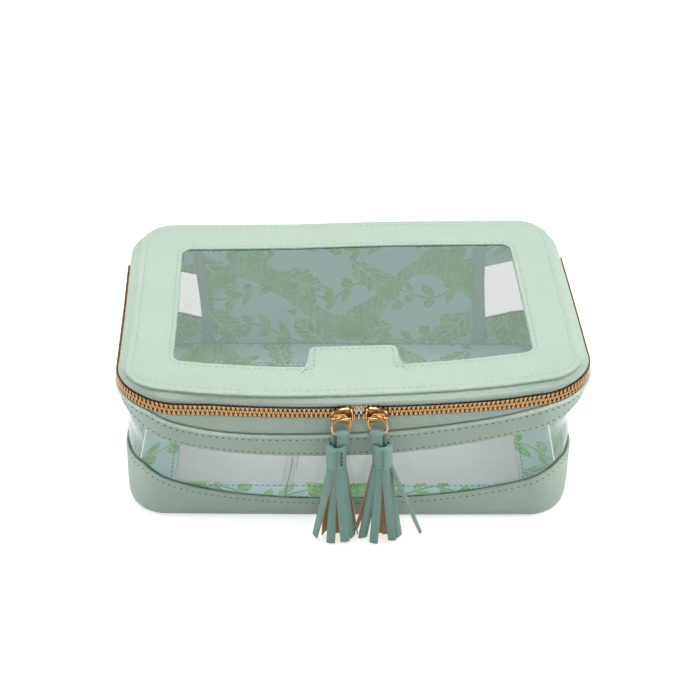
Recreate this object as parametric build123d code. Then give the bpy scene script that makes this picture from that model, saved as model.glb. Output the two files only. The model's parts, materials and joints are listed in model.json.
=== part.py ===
"""A soft zip-round case with clear windows in its lid, walls and floor.

The case stands on its floor.  X runs across its width, -Y is its front and Z is up.
Leather frames carry clear sheets, boards stiffen the frames, and a printed lining covers
the inside.  The wall is a stack of thin layers that all follow the same curved surface.
"""
from build123d import *
import math
import os
from dataclasses import dataclass
from functools import lru_cache

# ---- the walls, in plan ----
case_width = 257.0
case_depth = 158.0
corner_radius = 36.0
floor_corner = 23.0
back_corner = 28.0
floor_bow = 0.8
belly_bow = 6.5
zip_bow = 8.5
floor_tuck = 4.0
zip_flare_side = 3.2
zip_flare_end = 0.5

# ---- heights above the table ----
floor_round = 4.5
floor_round_tuck = 0.3
wall_start = 12.0
skirt_low = 15.5
skirt_high = 33.0
band_bottom = 55.0
band_bottom_rise = 12.0
band_top = 72.0
band_top_rise = 8.0
rise_margin = 2.0
rise_run = 32.0
zip_height = 89.5
lid_top = 100.8

# ---- sheet materials ----
leather = 1.1
clear_sheet = 0.7
lining = 0.7
binding = 0.8
welt = 0.7
welt_height = 2.0
sheet_overlap = 7.0
board_gap = 0.2
layer_gap = 0.1

# ---- skirt, seams and clear wall ----
skirt_half_span = 118.0
back_seam = 92.0
binding_width = 5.0
lap_position = -32.0
lap_width = 6.5

# ---- windows in the lid and the floor ----
window_border = 25.5
window_radius = 6.0
tab_width = 49.0
tab_length = 17.5
tab_radius = 3.5

# ---- lid panel ----
lid_width = 250.0
lid_setback = 3.5
lid_radius = 20.0
lid_thickness = 2.6
rim_width = 1.2
rim_overhang = 2.0
rim_round = 1.0

# ---- zip chain ----
tooth_pitch = 2.54
tooth_root = 1.3
tooth_tip = 0.8
tooth_length = 3.4
chain_thickness = 2.6
chain_overlap = 1.4
chain_gap = 1.9
chain_open_to = 5.5
chain_closed_from = 12.5
tape_depth = 11.0
stop_length = 2.6
stop_rise = 2.4
stop_gap = 0.6
zip_end_clearance = 37.0

# ---- sliders ----
meeting_position = 2.5
slider_offset = 9.6
slider_length = 12.6
slider_nose = 9.2
slider_tail = 7.4
slider_plate = 1.1
slider_clearance = 0.35
slider_lip = 0.8
slider_lip_clearance = 0.45
slider_post_setback = 0.4
slider_post_length = 2.0
slider_post_height = 1.8
slider_corner = 1.4
gusset_clearance = 0.5
bridge_radius = 0.7
bridge_reach = 3.2
bridge_span = 10.0
bridge_shift = 0.6
bridge_corner = 1.2

# ---- rings and tassels ----
ring_radius = 5.6
ring_wire = 0.65
ring_yaw = 25.0
ring_lean = 11.0
ring_drop = 1.6
strap_width = 6.0
strap_thickness = 1.1
strap_bend = 1.8
strap_seat = 0.85
strap_insertion = 6.0
strap_drop = 7.0
head_radius = 5.9
head_wall = 1.15
head_height = 17.5
head_fit = 0.1
strand_width = 4.6
strand_thickness = 0.9
strand_lift = 1.5
outer_strands = 7
inner_strands = 4
outer_root = 3.4
inner_root = 1.5
splay_along = 10.5
splay_across = 6.0
inner_splay = 0.5
inner_turn = 0.5
fringe_step = 0.8

# ---- hinge ----
hinge_gap = 0.4

FAR = 400.0


@dataclass(frozen=True)
class Outline:
    """Plan of the case at one height: straight sides and back, a bowed front, round corners."""

    width: float
    front: float
    back: float
    radius: float
    back_radius: float
    bow: float

    def inset(self, by):
        """The same plan, smaller by a margin all round."""
        return Outline(
            self.width - 2 * by,
            self.front - by,
            self.back - by,
            self.radius - by,
            self.back_radius - by,
            self.bow,
        )

    @property
    def half(self):
        return self.width / 2

    @property
    def bow_radius(self):
        """Radius of the arc that runs along the front."""
        return (self.half**2 + self.bow**2) / (2 * self.bow)

    @property
    def bow_centre(self):
        return Vector(0, self.bow_radius - self.front - self.bow)

    @property
    def corner_centre(self):
        """Centre of the front right corner, whose arc meets the side and the bowed front."""
        x = self.half - self.radius
        drop = math.sqrt((self.bow_radius - self.radius) ** 2 - x**2)
        return Vector(x, self.bow_centre.Y - drop)

    @property
    def corner_start(self):
        """Point where the bowed front runs into the front right corner."""
        away = (self.corner_centre - self.bow_centre).normalized()
        return self.bow_centre + away * self.bow_radius

    @property
    def front_middle(self):
        return Vector(0, -self.front - self.bow)

    def corner_arc(self):
        """The front right corner, from the front to the side."""
        centre = self.corner_centre
        start = self.corner_start
        end = centre + Vector(self.radius, 0)
        middle = centre + ((start + end) * 0.5 - centre).normalized() * self.radius
        return Edge.make_three_point_arc(start, middle, end)

    def wire(self, height):
        """The closed plan at a height."""
        right = [self.corner_arc()]
        back_centre = Vector(self.half - self.back_radius, self.back - self.back_radius)
        side_end = back_centre + Vector(self.back_radius, 0)
        back_end = back_centre + Vector(0, self.back_radius)
        back_middle = back_centre + Vector(1, 1).normalized() * self.back_radius
        right.append(Edge.make_line(right[0] @ 1, side_end))
        right.append(Edge.make_three_point_arc(side_end, back_middle, back_end))
        left = [edge.mirror(Plane.YZ) for edge in right]
        start = self.corner_start
        front = Edge.make_three_point_arc(Vector(-start.X, start.Y), self.front_middle, start)
        back = Edge.make_line(back_end, Vector(-back_end.X, back_end.Y))
        closed = Wire([front, *right, back, *reversed(left)])
        return closed.moved(Pos(0, 0, height))

    def block(self, bottom, top):
        """The plan drawn up into a solid between two heights."""
        return Solid.extrude(Face(self.wire(bottom)), Vector(0, 0, top - bottom))

    def half_path(self, side_end):
        """From the middle of the front round the right corner to a point along the side."""
        front = Edge.make_three_point_arc(
            self.front_middle,
            self.bow_centre + (self.front_middle + self.corner_start - self.bow_centre * 2).normalized()
            * self.bow_radius,
            self.corner_start,
        )
        corner = self.corner_arc()
        side = Edge.make_line(corner @ 1, Vector(self.half, side_end))
        return Wire([front, corner, side])


# ---- plans at the main heights ----
half_depth = case_depth / 2
zip_plan = Outline(
    case_width + 2 * zip_flare_side,
    half_depth + zip_flare_end,
    half_depth + zip_flare_end,
    corner_radius,
    back_corner,
    zip_bow,
)
floor_plan = Outline(case_width, half_depth, half_depth, floor_corner, floor_corner, floor_bow)
belly_plan = Outline(case_width, half_depth, half_depth, corner_radius, back_corner, belly_bow)
lid_plan = Outline(lid_width, half_depth, half_depth - lid_setback, lid_radius, lid_radius, zip_bow)
chain_plan = zip_plan.inset(leather + clear_sheet / 2)

plan_sizes = ("width", "front", "back", "radius", "back_radius", "bow")

# ---- heights that follow from the sizes ----
tooth_reach = tooth_length - chain_overlap / 2
lower_root = zip_height - tooth_reach
upper_root = zip_height + tooth_reach
slider_bottom = zip_height - slider_nose / 2
gusset_top = slider_bottom - gusset_clearance
lid_gusset_bottom = 2 * zip_height - gusset_top
panel_bottom = lid_top - lid_thickness
lid_sheet_top = lid_top - leather
board_offset = leather + clear_sheet
middle_front = leather + layer_gap
middle_back = board_offset - layer_gap
inside_offset = leather + clear_sheet + lining
zip_end = half_depth - zip_end_clearance


def slab(bottom, top):
    """Everything between two heights."""
    return Pos(0, 0, (bottom + top) / 2) * Box(2 * FAR, 2 * FAR, top - bottom)


def bay(half_width, bottom, top):
    """The back wall between its two seams, as a region to keep or to cut away."""
    region = Box(2 * half_width, FAR, top - bottom)
    return Pos(0, FAR / 2, (bottom + top) / 2) * region


def between(first, second):
    """The plan half-way between two others."""
    return Outline(*((getattr(first, size) + getattr(second, size)) / 2 for size in plan_sizes))


@lru_cache(maxsize=None)
def tub_block(inset):
    """The body filled solid, smaller by an inset, up to the middle of the zip."""
    wires = [
        floor_plan.inset(inset + floor_tuck).wire(0.0),
        floor_plan.inset(inset + floor_round_tuck).wire(floor_round),
        floor_plan.inset(inset).wire(wall_start),
        between(floor_plan, belly_plan).inset(inset).wire(skirt_high),
        belly_plan.inset(inset).wire(band_bottom),
    ]
    wires.append(zip_plan.inset(inset + zip_flare_end).wire(gusset_top - welt_height))
    wires.append(zip_plan.inset(inset).wire(zip_height))
    return Solid.make_loft(wires)


@lru_cache(maxsize=None)
def lid_block(inset):
    """The lid's wall filled solid, from the middle of the zip up to the lid panel."""
    wires = [
        zip_plan.inset(inset).wire(zip_height),
        zip_plan.inset(inset).wire(lid_gusset_bottom),
        lid_plan.inset(rim_overhang + inset).wire(panel_bottom),
    ]
    return Solid.make_loft(wires, ruled=True)


def tub_layer(outer, inner, bottom, top):
    """One sheet of the body's wall, between two insets and two heights."""
    return (tub_block(outer) - tub_block(inner)) & slab(bottom, top)


def lid_layer(outer, inner, bottom, top):
    """One sheet of the lid's wall."""
    return (lid_block(outer) - lid_block(inner)) & slab(bottom, top)


def above_skirt():
    """The region above the boat-shaped top edge of the skirt."""
    low = Vector(0, 0, skirt_low)
    right = Vector(skirt_half_span, 0, skirt_high)
    left = Vector(-skirt_half_span, 0, skirt_high)
    far_right = Vector(FAR, 0, skirt_high)
    far_left = Vector(-FAR, 0, skirt_high)
    rise = Vector(0, 0, FAR)
    edges = [
        Edge.make_three_point_arc(left, low, right),
        Edge.make_line(right, far_right),
        Edge.make_line(far_right, far_right + rise),
        Edge.make_line(far_right + rise, far_left + rise),
        Edge.make_line(far_left + rise, far_left),
        Edge.make_line(far_left, left),
    ]
    region = Solid.extrude(Face(Wire(edges)), Vector(0, 2 * FAR, 0))
    return region.moved(Pos(0, -FAR, 0))


def below_seam(level, rise):
    """The region below a seam that is level along the front and rises round the front corners."""
    rise_start = rise_margin - half_depth
    rise_end = rise_start + rise_run
    profile = Wire.make_polygon(
        [
            Vector(-FAR, -FAR, level),
            Vector(-FAR, rise_start, level),
            Vector(-FAR, rise_end, level + rise),
            Vector(-FAR, FAR, level + rise),
            Vector(-FAR, FAR, -FAR),
            Vector(-FAR, -FAR, -FAR),
        ],
        close=True,
    )
    return Solid.extrude(Face(profile), Vector(2 * FAR, 0, 0))


def window(plan, bottom, top, margin=0.0):
    """The window opening in a frame, larger by a margin all round."""
    inner = plan.inset(window_border - margin)
    radius = window_radius + margin
    opening = Outline(inner.width, inner.front, inner.back, radius, radius, inner.bow)
    return opening.block(bottom, top)


def tab(plan, bottom, top):
    """The tongue of the lid frame that reaches into the window from the middle of the front."""
    front = plan.front + plan.bow - window_border
    tongue = Pos(0, -front, (bottom + top) / 2) * Box(tab_width, 2 * tab_length, top - bottom)
    corners = tongue.edges().filter_by(Axis.Z).sort_by(Axis.Y)[-2:]
    return fillet(corners, tab_radius)


# ---- body ----
def floor_parts():
    """Leather frame, clear sheet, stiffening board and lining of the floor."""
    board_top = leather + clear_sheet
    floor_top = board_top + lining
    sheet = window(floor_plan, leather, board_top, sheet_overlap)
    board = (tub_block(leather) & slab(leather, board_top)) - window(
        floor_plan, leather, board_top, sheet_overlap + board_gap
    )
    return {
        "base_frame": (tub_block(0.0) & slab(0.0, leather)) - window(floor_plan, 0.0, leather),
        "base_window": sheet,
        "base_stiffener": board,
        "floor_lining": (tub_block(board_offset) & slab(board_top, floor_top))
        - window(floor_plan, board_top, floor_top),
    }


def wall_parts():
    """Skirt, clear wall, upper band and the strip below the zip, with their linings."""
    back = bay(back_seam, 0.0, FAR)
    high = above_skirt()
    floor_top = leather + clear_sheet + lining
    band_edge = below_seam(band_bottom, band_bottom_rise)
    clear_edge = below_seam(band_bottom + sheet_overlap, band_bottom_rise)
    seam = below_seam(band_top, band_top_rise)
    welt_low = below_seam(band_top - welt_height / 2, band_top_rise)
    welt_high = below_seam(band_top + welt_height / 2, band_top_rise)
    clear = tub_layer(leather, board_offset, skirt_low - sheet_overlap, gusset_top) - back
    clear &= clear_edge
    left_half = Pos(lap_position - FAR, 0, 0) * Box(2 * FAR, 2 * FAR, 2 * FAR)
    lap = Pos(lap_position, -FAR / 2, 0) * Box(lap_width, FAR, 2 * FAR)
    lap_sheet = tub_layer(leather - clear_sheet, leather, 0.0, band_bottom) & lap & high
    band_lining = tub_layer(board_offset, inside_offset, band_bottom, gusset_top) - back
    return {
        "skirt": tub_layer(0.0, leather, leather, skirt_high) - back - high,
        "skirt_lining": tub_layer(board_offset, inside_offset, floor_top, skirt_high) - back - high,
        "clear_wall_left": clear & left_half,
        "clear_wall_right": clear - left_half,
        "clear_lap_strip": lap_sheet,
        "upper_band": (tub_layer(0.0, leather, band_bottom, gusset_top) - back - band_edge) & seam,
        "band_lining": band_lining - band_edge,
        "band_welt": (tub_layer(-welt, 0.0, band_bottom, gusset_top) - back - welt_low) & welt_high,
        "zip_gusset": tub_layer(0.0, leather, band_top, gusset_top) - back - seam,
    }


def back_parts():
    """Back panel with its board and lining, the seam bindings and the lower half of the hinge."""
    floor_top = leather + clear_sheet + lining
    parts = {
        "back_panel": tub_layer(0.0, leather, leather, gusset_top) & bay(back_seam, 0.0, FAR),
        "back_stiffener": tub_layer(middle_front, middle_back, board_offset, gusset_top)
        & bay(back_seam, 0.0, FAR),
        "back_lining": tub_layer(board_offset, inside_offset, floor_top, gusset_top)
        & bay(back_seam, 0.0, FAR),
        "hinge_strip_lower": tub_layer(0.0, leather, gusset_top, zip_height - hinge_gap / 2)
        & bay(back_seam, 0.0, FAR),
    }
    for name, side in (("left", -1), ("right", 1)):
        strip = Pos(side * back_seam, FAR / 2, 0) * Box(binding_width, FAR, 2 * FAR)
        sheet = tub_layer(inside_offset, inside_offset + binding, floor_top, gusset_top)
        parts["seam_binding_" + name] = sheet & strip
    return parts


# ---- zip ----
def row_opening(distance):
    """How far one row of teeth stands away from the closed chain, at a distance along it."""
    closing = (distance - chain_open_to) / (chain_closed_from - chain_open_to)
    return chain_gap * (1 - min(max(closing, 0.0), 1.0))


def tape_notch(direction):
    """The dip in a tape's edge where the two sliders hold the zip open."""
    root = zip_height - direction * tooth_reach
    dip = root - direction * chain_gap
    inner = chain_open_to + tooth_root / 2
    outer = chain_closed_from + tooth_root / 2
    profile = Wire.make_polygon(
        [
            Vector(meeting_position - outer, 0, root),
            Vector(meeting_position - inner, 0, dip),
            Vector(meeting_position + inner, 0, dip),
            Vector(meeting_position + outer, 0, root),
        ],
        close=True,
    )
    return Solid.extrude(Face(profile), Vector(0, -FAR, 0))


def tooth(direction):
    """One tooth, standing on its tape's edge and tapering to its tip."""
    root = zip_height - direction * tooth_reach
    tip = root + direction * tooth_length
    profile = Wire.make_polygon(
        [
            Vector(-tooth_root / 2, -chain_thickness / 2, root),
            Vector(tooth_root / 2, -chain_thickness / 2, root),
            Vector(tooth_tip / 2, -chain_thickness / 2, tip),
            Vector(-tooth_tip / 2, -chain_thickness / 2, tip),
        ],
        close=True,
    )
    return Solid.extrude(Face(profile), Vector(0, chain_thickness, 0))


def chain_place(path, distance, side, lift=0.0):
    """Where a piece sits on the chain, at a distance from the middle of the front."""
    point = path.position_at(distance, position_mode=PositionMode.LENGTH)
    tangent = path.tangent_at(distance, position_mode=PositionMode.LENGTH)
    angle = math.degrees(math.atan2(tangent.Y, tangent.X))
    return Pos(side * point.X, point.Y, lift) * Rot(0, 0, side * angle)


def teeth_row(direction, phase):
    """All teeth of one row, from one end stop round the front to the other."""
    path = chain_plan.half_path(zip_end)
    count = int((path.length - stop_length - stop_gap) / tooth_pitch)
    model = tooth(direction)
    row = []
    for side in (-1, 1):
        for index in range(count):
            distance = (index + phase) * tooth_pitch
            lift = -direction * row_opening(abs(side * distance - meeting_position))
            row.append(model.moved(chain_place(path, distance, side, lift)))
    return Compound(row)


def end_stops(direction):
    """The two clips that end one row of teeth."""
    path = chain_plan.half_path(zip_end)
    root = zip_height - direction * tooth_reach
    middle = root + direction * stop_rise / 2
    clip = Pos(0, 0, middle) * Box(stop_length, chain_thickness, stop_rise)
    return Compound([clip.moved(chain_place(path, path.length, side)) for side in (-1, 1)])


def zip_parts():
    """Both tapes, both rows of teeth and their end stops, as lower and upper halves."""
    back = bay(back_seam, 0.0, FAR)
    lower = tub_layer(middle_front, middle_back, lower_root - tape_depth, lower_root)
    upper = lid_layer(leather, board_offset, upper_root, lid_gusset_bottom)
    past_teeth = Pos(0, zip_end + stop_length / 2 + FAR, 0) * Box(2 * FAR, 2 * FAR, 2 * FAR)
    lower += tub_layer(middle_front, middle_back, lower_root, zip_height - hinge_gap / 2) & past_teeth
    upper += lid_layer(leather, board_offset, zip_height + hinge_gap / 2, upper_root) & past_teeth
    lower -= back
    upper -= back
    return {
        "zip_tape_lower": lower - tape_notch(1),
        "zip_teeth_lower": teeth_row(1, 0.25),
        "zip_stops_lower": end_stops(1),
        "zip_tape_upper": upper - tape_notch(-1),
        "zip_teeth_upper": teeth_row(-1, 0.75),
        "zip_stops_upper": end_stops(-1),
    }


# ---- lid ----
def lid_parts():
    """Framed lid panel with its clear window, board and lining, and the lid's wall."""
    rim = lid_plan.inset(rim_width)
    panel = lid_plan.block(panel_bottom, lid_top)
    panel = fillet(panel.faces().sort_by(Axis.Z)[-1].edges(), rim_round)
    pocket = rim.block(panel_bottom, lid_sheet_top)
    board_bottom = lid_sheet_top - clear_sheet
    opening = window(lid_plan, panel_bottom, lid_top) - tab(lid_plan, panel_bottom, lid_top)
    sheet = window(lid_plan, board_bottom, lid_sheet_top, sheet_overlap)
    board_hole = window(lid_plan, board_bottom, lid_sheet_top, sheet_overlap + board_gap)
    wall_top = panel_bottom
    return {
        "lid_frame": panel - pocket - opening,
        "lid_window": sheet,
        "lid_stiffener": rim.block(board_bottom, lid_sheet_top) - board_hole,
        "lid_lining": rim.block(panel_bottom, board_bottom) - opening,
        "lid_gusset": lid_layer(0.0, leather, lid_gusset_bottom, wall_top),
        "lid_gusset_lining": lid_layer(board_offset, inside_offset, lid_gusset_bottom, wall_top),
        "hinge_strip_upper": lid_layer(0.0, leather, zip_height + hinge_gap / 2, lid_gusset_bottom)
        & bay(back_seam, 0.0, FAR),
    }


# ---- sliders, rings and tassels, drawn for the right-hand slider ----
plate_inside = chain_thickness / 2 + slider_clearance
plate_outside = plate_inside + slider_plate
bridge_y = -plate_outside - bridge_reach


def slider_plate_shape(inner, outer):
    """A plate that narrows from nose to tail, between two distances from the chain."""
    profile = Wire.make_polygon(
        [
            Vector(-slider_length / 2, inner, -slider_nose / 2),
            Vector(slider_length / 2, inner, -slider_tail / 2),
            Vector(slider_length / 2, inner, slider_tail / 2),
            Vector(-slider_length / 2, inner, slider_nose / 2),
        ],
        close=True,
    )
    plate = Solid.extrude(Face(profile), Vector(0, outer - inner, 0))
    return fillet(plate.edges().filter_by(Axis.Y), slider_corner)


def slider():
    """Two plates joined by the post that parts the rows, lips below and a bridge in front."""
    front = slider_plate_shape(-plate_inside, -plate_outside)
    rear = slider_plate_shape(plate_inside, plate_outside)
    nose = -slider_length / 2
    post = Pos(nose + slider_post_setback + slider_post_length / 2, 0, 0) * Box(
        slider_post_length, 2 * plate_inside, slider_post_height
    )
    body = front + rear + post
    lip_reach = plate_inside - clear_sheet / 2 - slider_lip_clearance
    lip_start = chain_closed_from + tooth_root - slider_offset
    lip_end = slider_length / 2 - slider_corner
    for sense in (-1, 1):
        lip = Box(lip_end - lip_start, lip_reach, slider_lip)
        middle = sense * (plate_inside - lip_reach / 2)
        body += Pos((lip_start + lip_end) / 2, middle, (slider_lip - slider_tail) / 2) * lip
    path = FilletPolyline(
        (bridge_shift - bridge_span / 2, -plate_outside + slider_plate / 2, 0),
        (bridge_shift - bridge_span / 2, bridge_y, 0),
        (bridge_shift + bridge_span / 2, bridge_y, 0),
        (bridge_shift + bridge_span / 2, -plate_outside + slider_plate / 2, 0),
        radius=bridge_corner,
    )
    section = Plane(origin=path @ 0, z_dir=path % 0) * Circle(bridge_radius)
    return body + sweep(section, path)


def ring():
    """A wire ring, round the bridge, drawn flat in the plane of X and Z about its centre."""
    return Solid.make_torus(ring_radius, ring_wire, Plane.XZ)


def tassel():
    """Strap loop, rolled head and strands, drawn about the middle of the ring's lowest wire."""
    bend_height = strap_seat
    head_top = -strap_drop
    head_bottom = head_top - head_height
    strap_end = head_top - strap_insertion
    strap = Pos(0, 0, bend_height) * Rot(0, 90, 0) * Cylinder(strap_bend + strap_thickness, strap_width)
    strap += Pos(0, 0, (bend_height + strap_end) / 2) * Box(
        strap_width, 2 * (strap_bend + strap_thickness), bend_height - strap_end
    )
    strap -= Pos(0, 0, bend_height) * Rot(0, 90, 0) * Cylinder(strap_bend, strap_width)
    strap -= Pos(0, 0, (bend_height + strap_end) / 2) * Box(
        strap_width, 2 * strap_bend, bend_height - strap_end
    )
    tube = Pos(0, 0, (head_top + head_bottom) / 2) * Cylinder(head_radius, head_height)
    tube -= Pos(0, 0, (head_top + head_bottom) / 2) * Cylinder(head_radius - head_wall, head_height)
    core_radius = head_radius - head_wall - head_fit
    core = Pos(0, 0, (strap_end + head_bottom) / 2) * Cylinder(core_radius, strap_end - head_bottom)
    return strap, tube, core, head_bottom


def strand(root_point, tip_point, heading, top, bottom):
    """One flat strip that leans from its root to its tip."""
    sections = []
    for point, height in ((root_point, top), (tip_point, bottom)):
        rectangle = Rectangle(strand_thickness, strand_width)
        sections.append(Pos(point.X, point.Y, height) * Rot(0, 0, heading) * rectangle)
    return loft(sections, ruled=True)


def strands(core, top, bottom):
    """The strips below the head, fanned out and cut to slightly different lengths."""
    fringe = core
    rings_of_strips = (
        (outer_strands, outer_root, 1.0, 0.0),
        (inner_strands, inner_root, inner_splay, inner_turn),
    )
    for count, root, share, turn in rings_of_strips:
        for index in range(count):
            angle = math.radians(360 * (index + turn) / count)
            direction = Vector(math.cos(angle), math.sin(angle))
            tip = Vector(direction.X * splay_along * share, direction.Y * splay_across * share)
            length_step = fringe_step * (index % 3)
            fringe += strand(direction * root, tip, math.degrees(angle), top, bottom + length_step)
    return fringe


def pull_parts():
    """Slider, ring and tassel on each side of the meeting point, with their pivots."""
    path = chain_plan.half_path(zip_end)
    parts = {}
    pivots = {}
    swing = math.radians(ring_lean)
    for name, side in (("left", -1), ("right", 1)):
        distance = side * slider_offset + meeting_position
        place = chain_place(path, abs(distance), math.copysign(1, distance), zip_height)
        hand = Plane.YZ if side < 0 else None
        body = slider()
        wire = ring()
        bar = Vector(bridge_shift, bridge_y, 0)
        drop = ring_radius - ring_drop
        hang = Vector(0, -math.sin(swing), -math.cos(swing))
        ring_centre = bar + hang * drop
        low_wire = bar + hang * (drop + ring_radius)
        turn = Rot(-ring_lean, 0, 0) * Rot(0, 0, -ring_yaw)
        wire = wire.moved(Pos(*ring_centre) * turn)
        strap, tube, core, head_bottom = tassel()
        fringe_bottom = strand_lift - zip_height - low_wire.Z
        fringe = strands(core, head_bottom, fringe_bottom)
        hanging = Pos(*low_wire) * Rot(0, 0, -ring_yaw)
        pieces = {
            "slider_" + name: body,
            "ring_" + name: wire,
            "tassel_strap_" + name: hanging * strap,
            "tassel_head_" + name: hanging * tube,
            "tassel_strands_" + name: hanging * fringe,
        }
        for node, piece in pieces.items():
            if hand:
                piece = piece.mirror(hand)
            parts[node] = place * piece
        for label, point in (("ring", bar), ("tassel", low_wire)):
            local = Vector(side * point.X, point.Y, point.Z)
            pivots[label + "_" + name] = (place * Pos(*local)).position
    pivots["travel"] = Vector(0, chain_plan.bow_centre.Y, zip_height)
    return parts, pivots


def build():
    """Every node of the case, with its origin below the middle of the whole footprint."""
    nodes = {}
    nodes.update(floor_parts())
    nodes.update(wall_parts())
    nodes.update(back_parts())
    nodes.update(zip_parts())
    nodes.update(lid_parts())
    pulls, pivots = pull_parts()
    nodes.update(pulls)
    pivots["hinge"] = Vector(0, zip_plan.back, zip_height)
    boxes = [node.bounding_box() for node in nodes.values()]
    front = min(box.min.Y for box in boxes)
    back = max(box.max.Y for box in boxes)
    shift = Pos(0, -(front + back) / 2, 0)
    placed = {name: shift * node for name, node in nodes.items()}
    moved_pivots = {name: (shift * Pos(*point)).position for name, point in pivots.items()}
    return placed, moved_pivots


def main():
    os.makedirs("parts", exist_ok=True)
    nodes, pivots = build()
    for name, node in nodes.items():
        export_step(node, "parts/" + name + ".step")
    for name, point in pivots.items():
        print("pivot", name, round(point.X, 4), round(point.Y, 4), round(point.Z, 4))


main()
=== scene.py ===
# %% [markdown]
# # A soft zip-round case with clear windows
#
# The case is sewn from embossed leather, clear sheet and printed lining, and closed by a metal zip.
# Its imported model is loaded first.  It is stiff and plain, so nearly every piece is made again here as
# a soft sewn piece in the same place, and each new piece rides on the moving body it belongs to.

import json
import math

import bmesh
import bpy
import numpy as np
from mathutils.kdtree import KDTree
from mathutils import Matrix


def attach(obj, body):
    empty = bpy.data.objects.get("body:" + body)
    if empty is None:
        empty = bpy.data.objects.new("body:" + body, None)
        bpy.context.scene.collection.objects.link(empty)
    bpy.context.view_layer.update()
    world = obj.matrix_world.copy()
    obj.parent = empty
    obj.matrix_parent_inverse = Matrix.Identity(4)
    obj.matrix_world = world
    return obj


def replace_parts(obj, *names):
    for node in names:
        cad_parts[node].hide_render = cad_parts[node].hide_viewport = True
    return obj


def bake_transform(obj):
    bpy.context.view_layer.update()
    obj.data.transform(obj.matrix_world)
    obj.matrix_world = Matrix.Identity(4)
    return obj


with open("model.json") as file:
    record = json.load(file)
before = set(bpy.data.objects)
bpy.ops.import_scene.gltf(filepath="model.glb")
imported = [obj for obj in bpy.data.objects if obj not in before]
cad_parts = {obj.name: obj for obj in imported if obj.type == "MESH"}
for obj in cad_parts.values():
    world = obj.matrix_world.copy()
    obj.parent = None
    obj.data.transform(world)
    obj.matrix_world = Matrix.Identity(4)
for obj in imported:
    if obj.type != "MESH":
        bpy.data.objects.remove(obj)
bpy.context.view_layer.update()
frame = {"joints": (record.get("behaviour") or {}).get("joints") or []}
joints = {joint["name"]: joint for joint in frame["joints"]}
MM = 0.001
tau = 2 * math.pi

# %% [markdown]
# ## Camera, floor and light
#
# The case stands on a white sweep under one broad soft lamp overhead, with a smaller lamp on each side.
# The floor looks pure white to the camera and still takes the faint shadow under the case.


# %% Camera and lamps
def camera(place, pitch, yaw, lens):
    """A camera at a place in metres, looking down by pitch and turned left by yaw, in degrees."""
    made = bpy.data.objects.new("camera", bpy.data.cameras.new("camera"))
    bpy.context.scene.collection.objects.link(made)
    made.location = place
    made.rotation_euler = (math.radians(90 - pitch), 0, math.radians(yaw))
    made.data.lens = lens
    made.data.sensor_width = 36
    made.data.clip_start = 0.01
    bpy.context.scene.camera = made
    return made


def lamp(name, place, aim, size, power):
    """A square soft lamp at a place, turned to face a point."""
    made = bpy.data.objects.new(name, bpy.data.lights.new(name, "AREA"))
    bpy.context.scene.collection.objects.link(made)
    made.location = place
    away = np.subtract(aim, place)
    pan = math.atan2(away[1], away[0]) - math.pi / 2
    tilt = math.acos(-away[2] / np.linalg.norm(away))
    made.rotation_euler = (tilt, 0, pan)
    made.data.size = size
    made.data.energy = power
    return made


BACK = 79.5  # from the middle of the case to its back, in millimetres
middle = joints["lid_hinge"]["pos_m"][1] / MM - BACK
VIEW_TURN, VIEW_DOWN, VIEW_LENS = 1.35, 39.78, 70.95
VIEW_DISTANCE, VIEW_HEIGHT = 635.1, 589.3
swing = math.radians(VIEW_TURN)
view_x, view_y = -VIEW_DISTANCE * math.sin(swing), middle - VIEW_DISTANCE * math.cos(swing)
camera((view_x * MM, view_y * MM, VIEW_HEIGHT * MM), VIEW_DOWN, -VIEW_TURN, VIEW_LENS)
lamp("overhead_lamp", (0.0, 0.12, 1.3), (0, 0, 0.05), 1.0, 16.0)
lamp("left_lamp", (-1.15, -0.15, 0.4), (0, 0, 0.05), 0.6, 4.0)
lamp("right_lamp", (1.15, -0.15, 0.4), (0, 0, 0.05), 0.6, 6.3)
bpy.context.scene.view_settings.view_transform = "Standard"

# %% [markdown]
# ## Writing finishes as sums
#
# A material is a graph of nodes.  A small class wraps one socket, so that adding or multiplying two
# sockets in Python adds the Math node that does it.  Every other node comes from one method.


# %% Sockets that can be added and multiplied
class Signal:
    """One output socket of a finish, with arithmetic that adds Math nodes."""

    def __init__(self, finish, socket):
        self.finish, self.socket = finish, socket

    def math(self, operation, *terms):
        """A Math node on numbers or sockets."""
        return self.finish.node("ShaderNodeMath", {"operation": operation}, dict(enumerate(terms)))

    def __add__(self, other):
        return self.math("ADD", self, other)

    def __sub__(self, other):
        return self.math("SUBTRACT", self, other)

    def __rsub__(self, other):
        return self.math("SUBTRACT", other, self)

    def __mul__(self, other):
        return self.math("MULTIPLY", self, other)

    def __truediv__(self, other):
        return self.math("DIVIDE", self, other)

    def __pow__(self, other):
        return self.math("POWER", self, other)

    __radd__, __rmul__ = __add__, __mul__

    def step(self, low, high):
        """0 below low and 1 above high, with a smooth rise between; high may be the smaller one."""
        return self.finish.node(
            "ShaderNodeMapRange", {"interpolation_type": "SMOOTHSTEP"}, {0: self, 1: low, 2: high}
        )

    def of(self, operation, *terms):
        """Any other Math node, with this socket as its first value."""
        return self.math(operation, self, *terms)


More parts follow.
